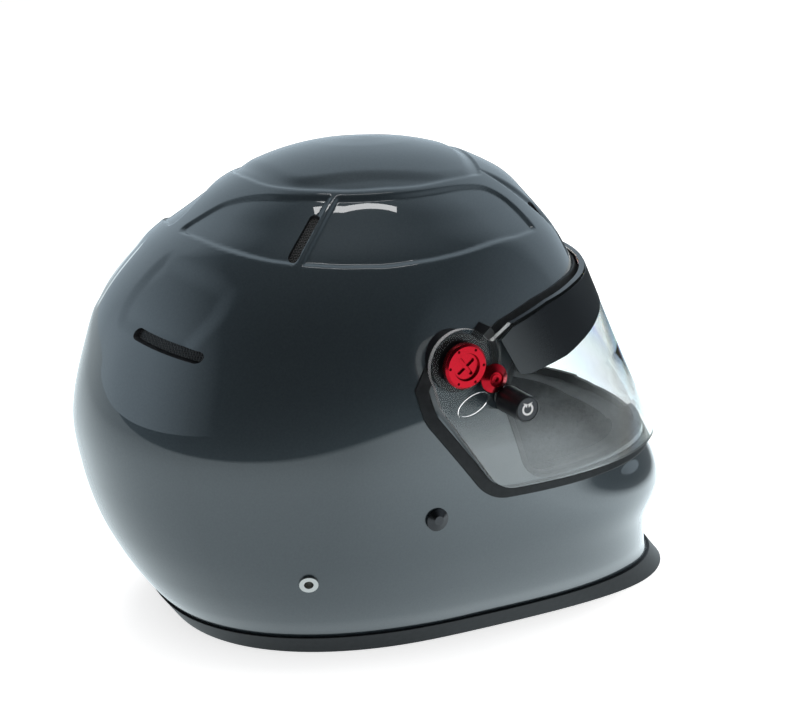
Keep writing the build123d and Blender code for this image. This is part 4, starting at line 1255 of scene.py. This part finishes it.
def fine_route(route, step=1.2 * mm):
    """The same route with places close together, so that the ribbon bends smoothly."""
    result = [route[0]]
    for a, b in zip(route, route[1:]):
        count = max(1, round((b - a).length / step))
        result += [a + (b - a) * k / count for k in range(1, count + 1)]
    return result


def ribbon_section():
    """Section of the webbing: a flat bar with rounded edges, across and through."""
    flat, thick = strap_half - edge_radius, strap_wall / 2 - edge_radius
    shape = []
    for quarter, (a, b) in enumerate(((1, 1), (-1, 1), (-1, -1), (1, -1))):
        for k in range(5):
            way = math.pi / 2 * (quarter + k / 4)
            shape.append((a * flat + edge_radius * math.cos(way), b * thick + edge_radius * math.sin(way)))
    return shape


def ribbon(name, corners, nodes_replaced, radius=2.2 * mm):
    """Webbing along a route drawn from the front, in x and z."""
    route = fine_route(rounded_route(corners, radius))
    shape = ribbon_section()
    points = []
    for k, spot in enumerate(route):
        ahead = (route[min(k + 1, len(route) - 1)] - route[max(k - 1, 0)]).normalized()
        side_way = Vector((-ahead.y, ahead.x))
        for a, b in shape:
            points.append((spot.x + side_way.x * b, strap_y + a, spot.y + side_way.y * b))
    count = len(shape)
    faces = ring_faces(0, count, len(route))
    faces += [list(range(count))[::-1], list(range(len(points) - count, len(points)))]
    strap = outward(mesh_piece(name, points, faces, (webbing,)))
    for face in strap.data.polygons:
        face.use_smooth = len(face.vertices) == 4
    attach(strap, "helmet")
    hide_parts(nodes_replaced)
    return strap


print("places round the webbing:", len(ribbon_section()))

# %% [markdown]
# The route starts at the rivet, runs down close to the laminate and turns under the chin. On the
# left the webbing loops round the straight bars of the two rings; on the right it ends in a fold
# that the snap holds. The loop stands 0.3 mm off the wire of the rings.

# %% Chin strap
strap_top, strap_low, strap_gap = 0.094, 0.0054, 0.7 * mm
near_bar, far_bar, bar_radius, bar_gap = 0.016, 0.0205, 1.5 * mm, 0.3 * mm
fold_end, fold_gap, tail_end = -0.010, 2.6 * mm, -0.062


def side_reach(y, height):
    """How far out the painted surface stands beside the head."""
    half, rear, front, middle, front_power, rear_power = at_height(painted, np.array([height]))[0][1:]
    power = rear_power if y > middle else front_power
    depth = rear - middle if y > middle else middle - front
    return half * (1 - (abs(y - middle) / depth) ** power) ** (1 / power)


def strap_out(height):
    """How far out the webbing's middle runs, inside the laminate."""
    return side_reach(strap_y + strap_half, height) - wall - strap_gap - strap_wall / 2


drop = [(strap_out(0.235 * shell_height), strap_top)]
drop += [(strap_out(share * shell_height), share * shell_height) for share in (0.235, 0.15, 0.09)]
drop += [(0.084, 0.0072), (0.070, strap_low)]
fold_z = strap_low + strap_wall + fold_gap
right_route = [(-x, z) for x, z in drop] + [(fold_end, strap_low), (fold_end, fold_z), (tail_end, fold_z)]
loop = bar_radius + bar_gap + strap_wall / 2
under, over = strap_low - loop, strap_low + loop
left_route = drop + [(far_bar + 4 * mm, under), (near_bar - loop, under), (near_bar - loop, over),
                     (far_bar + loop, over), (far_bar + loop, strap_low - loop * 0.2)]
straps = [ribbon("strap_webbing_right", right_route, "chin_strap_right"),
          ribbon("strap_webbing_left", left_route, "chin_strap_left", 2.0 * mm)]
print("straps:", [len(strap.data.vertices) for strap in straps])

# %% [markdown]
# The floor and the room look different to the camera and in the gloss, as in a studio where the
# table ends just outside the picture. That needs a few tools that ask what kind of ray arrives.

# %% Ray tools
def pick(tree, chooser, no, yes):
    """One value where the chooser is 0 and another where it is 1; each a number or a socket."""
    mix = add_node(tree, "ShaderNodeMix", data_type="FLOAT")
    tree.links.new(chooser, mix.inputs["Factor"])
    for socket, value in (("A", no), ("B", yes)):
        if isinstance(value, float):
            mix.inputs[socket].default_value = value
        else:
            tree.links.new(value, mix.inputs[socket])
    return mix.outputs["Result"]


def along_way(tree, source, way):
    """How far a place or direction reaches along the given way."""
    node = add_node(tree, "ShaderNodeVectorMath", operation="DOT_PRODUCT")
    node.inputs[1].default_value = way
    tree.links.new(source, node.inputs[0])
    return node.outputs["Value"]


def mirror_ray(tree, rays):
    """1 for a ray that a glossy surface throws back, 0 for one that glass lets through."""
    return combine(tree, "SUBTRACT", rays.outputs["Is Glossy Ray"], rays.outputs["Is Transmission Ray"])


print("ray tools:", [tool.__name__ for tool in (pick, along_way, mirror_ray)])

# %% [markdown]
# The floor is a plain pale sheet. Close to the helmet it is lit like anything else, so that it
# keeps the shadow; further out its own glow takes over for the camera, and it melts into white.
# Gloss finds a table instead, which is shaded beside the helmet, brighter toward the front, and
# ends at a slanted edge and in front. Where the table ends, the paint turns dark.

# %% Floor
def table_light(tree, far, spot):
    """How bright the table is in the gloss, by its distance and place."""
    front = ramp(tree, spot.outputs["Y"], 0.10, -0.25, 1.30, 2.3)
    table_end = ramp(tree, spot.outputs["Y"], -0.40, -0.75, 1.0, 0.05)
    table_side = ramp(tree, far, 0.5, 1.5, 1.0, 0.55)
    table_edge = ramp(tree, along_way(tree, place(tree), (1.0, -0.66, 0.0)), -0.97, -0.86, 0.045, 1.0)
    own_shade = ramp(tree, far, 0.17, 0.36, 0.78, 1.0)
    light = front
    for dimmer in (table_end, table_side, table_edge, own_shade):
        light = combine(tree, "MULTIPLY", light, dimmer)
    return light


def floor_finish():
    """Pale sheet for the camera, a table with edges for the gloss."""
    material, tree, shader = finish_of("pale_floor", Base_Color=(0.86, 0.86, 0.86, 1), Roughness=0.9,
                                       Specular_IOR_Level=0.1)
    out = tree.nodes["Material Output"]
    far = add_node(tree, "ShaderNodeVectorMath", operation="LENGTH")
    tree.links.new(place(tree), far.inputs[0])
    fade = ramp(tree, far.outputs["Value"], 0.17, 0.34, 0.66, 1.0)
    rays = add_node(tree, "ShaderNodeLightPath")
    straight = pick(tree, rays.outputs["Is Camera Ray"], 0.0, fade)
    straight = pick(tree, rays.outputs["Is Transmission Ray"], straight, fade)
    glow = add_node(tree, "ShaderNodeEmission", Strength=1.0)
    tree.links.new(straight, glow.inputs["Strength"])
    lit = add_node(tree, "ShaderNodeAddShader")
    tree.links.new(shader.outputs[0], lit.inputs[0])
    tree.links.new(glow.outputs[0], lit.inputs[1])
    apart = add_node(tree, "ShaderNodeSeparateXYZ")
    tree.links.new(place(tree), apart.inputs[0])
    mirrored = add_node(tree, "ShaderNodeEmission", Color=(0.88, 1.0, 1.05, 1))
    tree.links.new(table_light(tree, far.outputs["Value"], apart), mirrored.inputs["Strength"])
    mix = add_node(tree, "ShaderNodeMixShader")
    tree.links.new(mirror_ray(tree, rays), mix.inputs["Fac"])
    tree.links.new(lit.outputs[0], mix.inputs[1])
    tree.links.new(mirrored.outputs[0], mix.inputs[2])
    tree.links.new(mix.outputs[0], out.inputs["Surface"])
    return material


reach, sunk = 6.0, -0.2 * mm    # half the sheet's width; just under the rubber, so that they don't touch
floor = mesh_piece("floor", [(-reach, -reach, 0), (reach, -reach, 0), (reach, reach, 0), (-reach, reach, 0)],
                   [[0, 1, 2, 3]], (floor_finish(),))
floor.location.z = sunk
print("floor half width:", reach)

# %% [markdown]
# The world lights everything evenly and is white to the camera. Gloss needs something dark to
# reflect as well, so reflected rays find a dim room: bright behind the head and on the far side,
# a paler wall in front, and nearly black overhead and on the camera's side.

# %% World
world = bpy.data.worlds.new("studio")
bpy.context.scene.world = world
world.use_nodes = True
tree = world.node_tree
background = tree.nodes["Background"]
where = add_node(tree, "ShaderNodeTexCoord")
rays = add_node(tree, "ShaderNodeLightPath")


def brightness_toward(direction, low, high, low_value, high_value):
    """A wall of the room: its brightness grows the more a ray points that way."""
    share = along_way(tree, where.outputs["Generated"], direction)
    return ramp(tree, share, low, high, low_value, high_value)


behind_head = brightness_toward((0.457, 0.889, 0.0), 0.50, 0.95, 0.045, 1.05)
far_wall = brightness_toward((0.889, -0.457, 0.0), 0.12, 0.42, 0.045, 0.72)
front_wall = brightness_toward((-0.457, -0.889, 0.0), 0.64, 0.90, 0.045, 0.60)
room = combine(tree, "MAXIMUM", combine(tree, "MAXIMUM", behind_head, far_wall), front_wall)
strength = pick(tree, rays.outputs["Is Glossy Ray"], 0.55, room)
strength = pick(tree, rays.outputs["Is Camera Ray"], strength, 1.0)
strength = pick(tree, rays.outputs["Is Transmission Ray"], strength, 1.0)
tree.links.new(strength, background.inputs["Strength"])
tint = add_node(tree, "ShaderNodeMix", data_type="RGBA")
tree.links.new(mirror_ray(tree, rays), tint.inputs["Factor"])
tint.inputs[6].default_value = (1, 1, 1, 1)
tint.inputs[7].default_value = (0.82, 0.99, 1.12, 1)
tree.links.new(tint.outputs[2], background.inputs["Color"])
print("world:", world.name)

# %% [markdown]
# One broad lamp above gives the soft shadow. It is kept out of the gloss, where its square would
# show as a second window.

# %% Overhead lamp
lamp_side, lamp_watts = 1.3, 14
lamp_at, lamp_aim, up = Vector((0.25, -0.15, 1.3)), Vector((0, 0, 0.1)), Vector((0, 0, 1))
lamp_data = bpy.data.lights.new("overhead", "AREA")
lamp_data.shape = "RECTANGLE"
lamp_data.size, lamp_data.size_y = lamp_side, lamp_side
lamp_data.energy = lamp_watts
overhead = in_scene("overhead", lamp_data)
z_way = (lamp_at - lamp_aim).normalized()
y_way = (up - z_way * up.dot(z_way)).normalized()
overhead.location = lamp_at
overhead.rotation_euler = Matrix((y_way.cross(z_way), y_way, z_way)).transposed().to_euler()
overhead.visible_glossy = False

# %% [markdown]
# The bright bent patch on the side of the crown is a ceiling window mirrored in the lacquer. Its
# corners were found by following the patch's corners from the camera off the smooth surface up to
# the ceiling; a sheet that glows there gives the patch its photographed shape.

# %% Window
window_height = 1.35
window_corners = [(-0.172, -0.510), (-0.226, -0.492), (-0.148, -0.050),
                  (-0.022, 0.140), (0.060, 0.130), (-0.088, -0.070)]
glowing = bpy.data.materials.new("window_light")
glowing.use_nodes = True
tree = glowing.node_tree
tree.nodes.remove(tree.nodes["Principled BSDF"])
glow = add_node(tree, "ShaderNodeEmission", Strength=8.0)
tree.links.new(glow.outputs[0], tree.nodes["Material Output"].inputs["Surface"])
window = mesh_piece("window", [(x, y, window_height) for x, y in window_corners],
                    [[0, 1, 2, 5], [5, 2, 3, 4]], (glowing,))
bpy.context.scene.view_settings.view_transform = "Standard"
print("window corners:", len(window_corners))
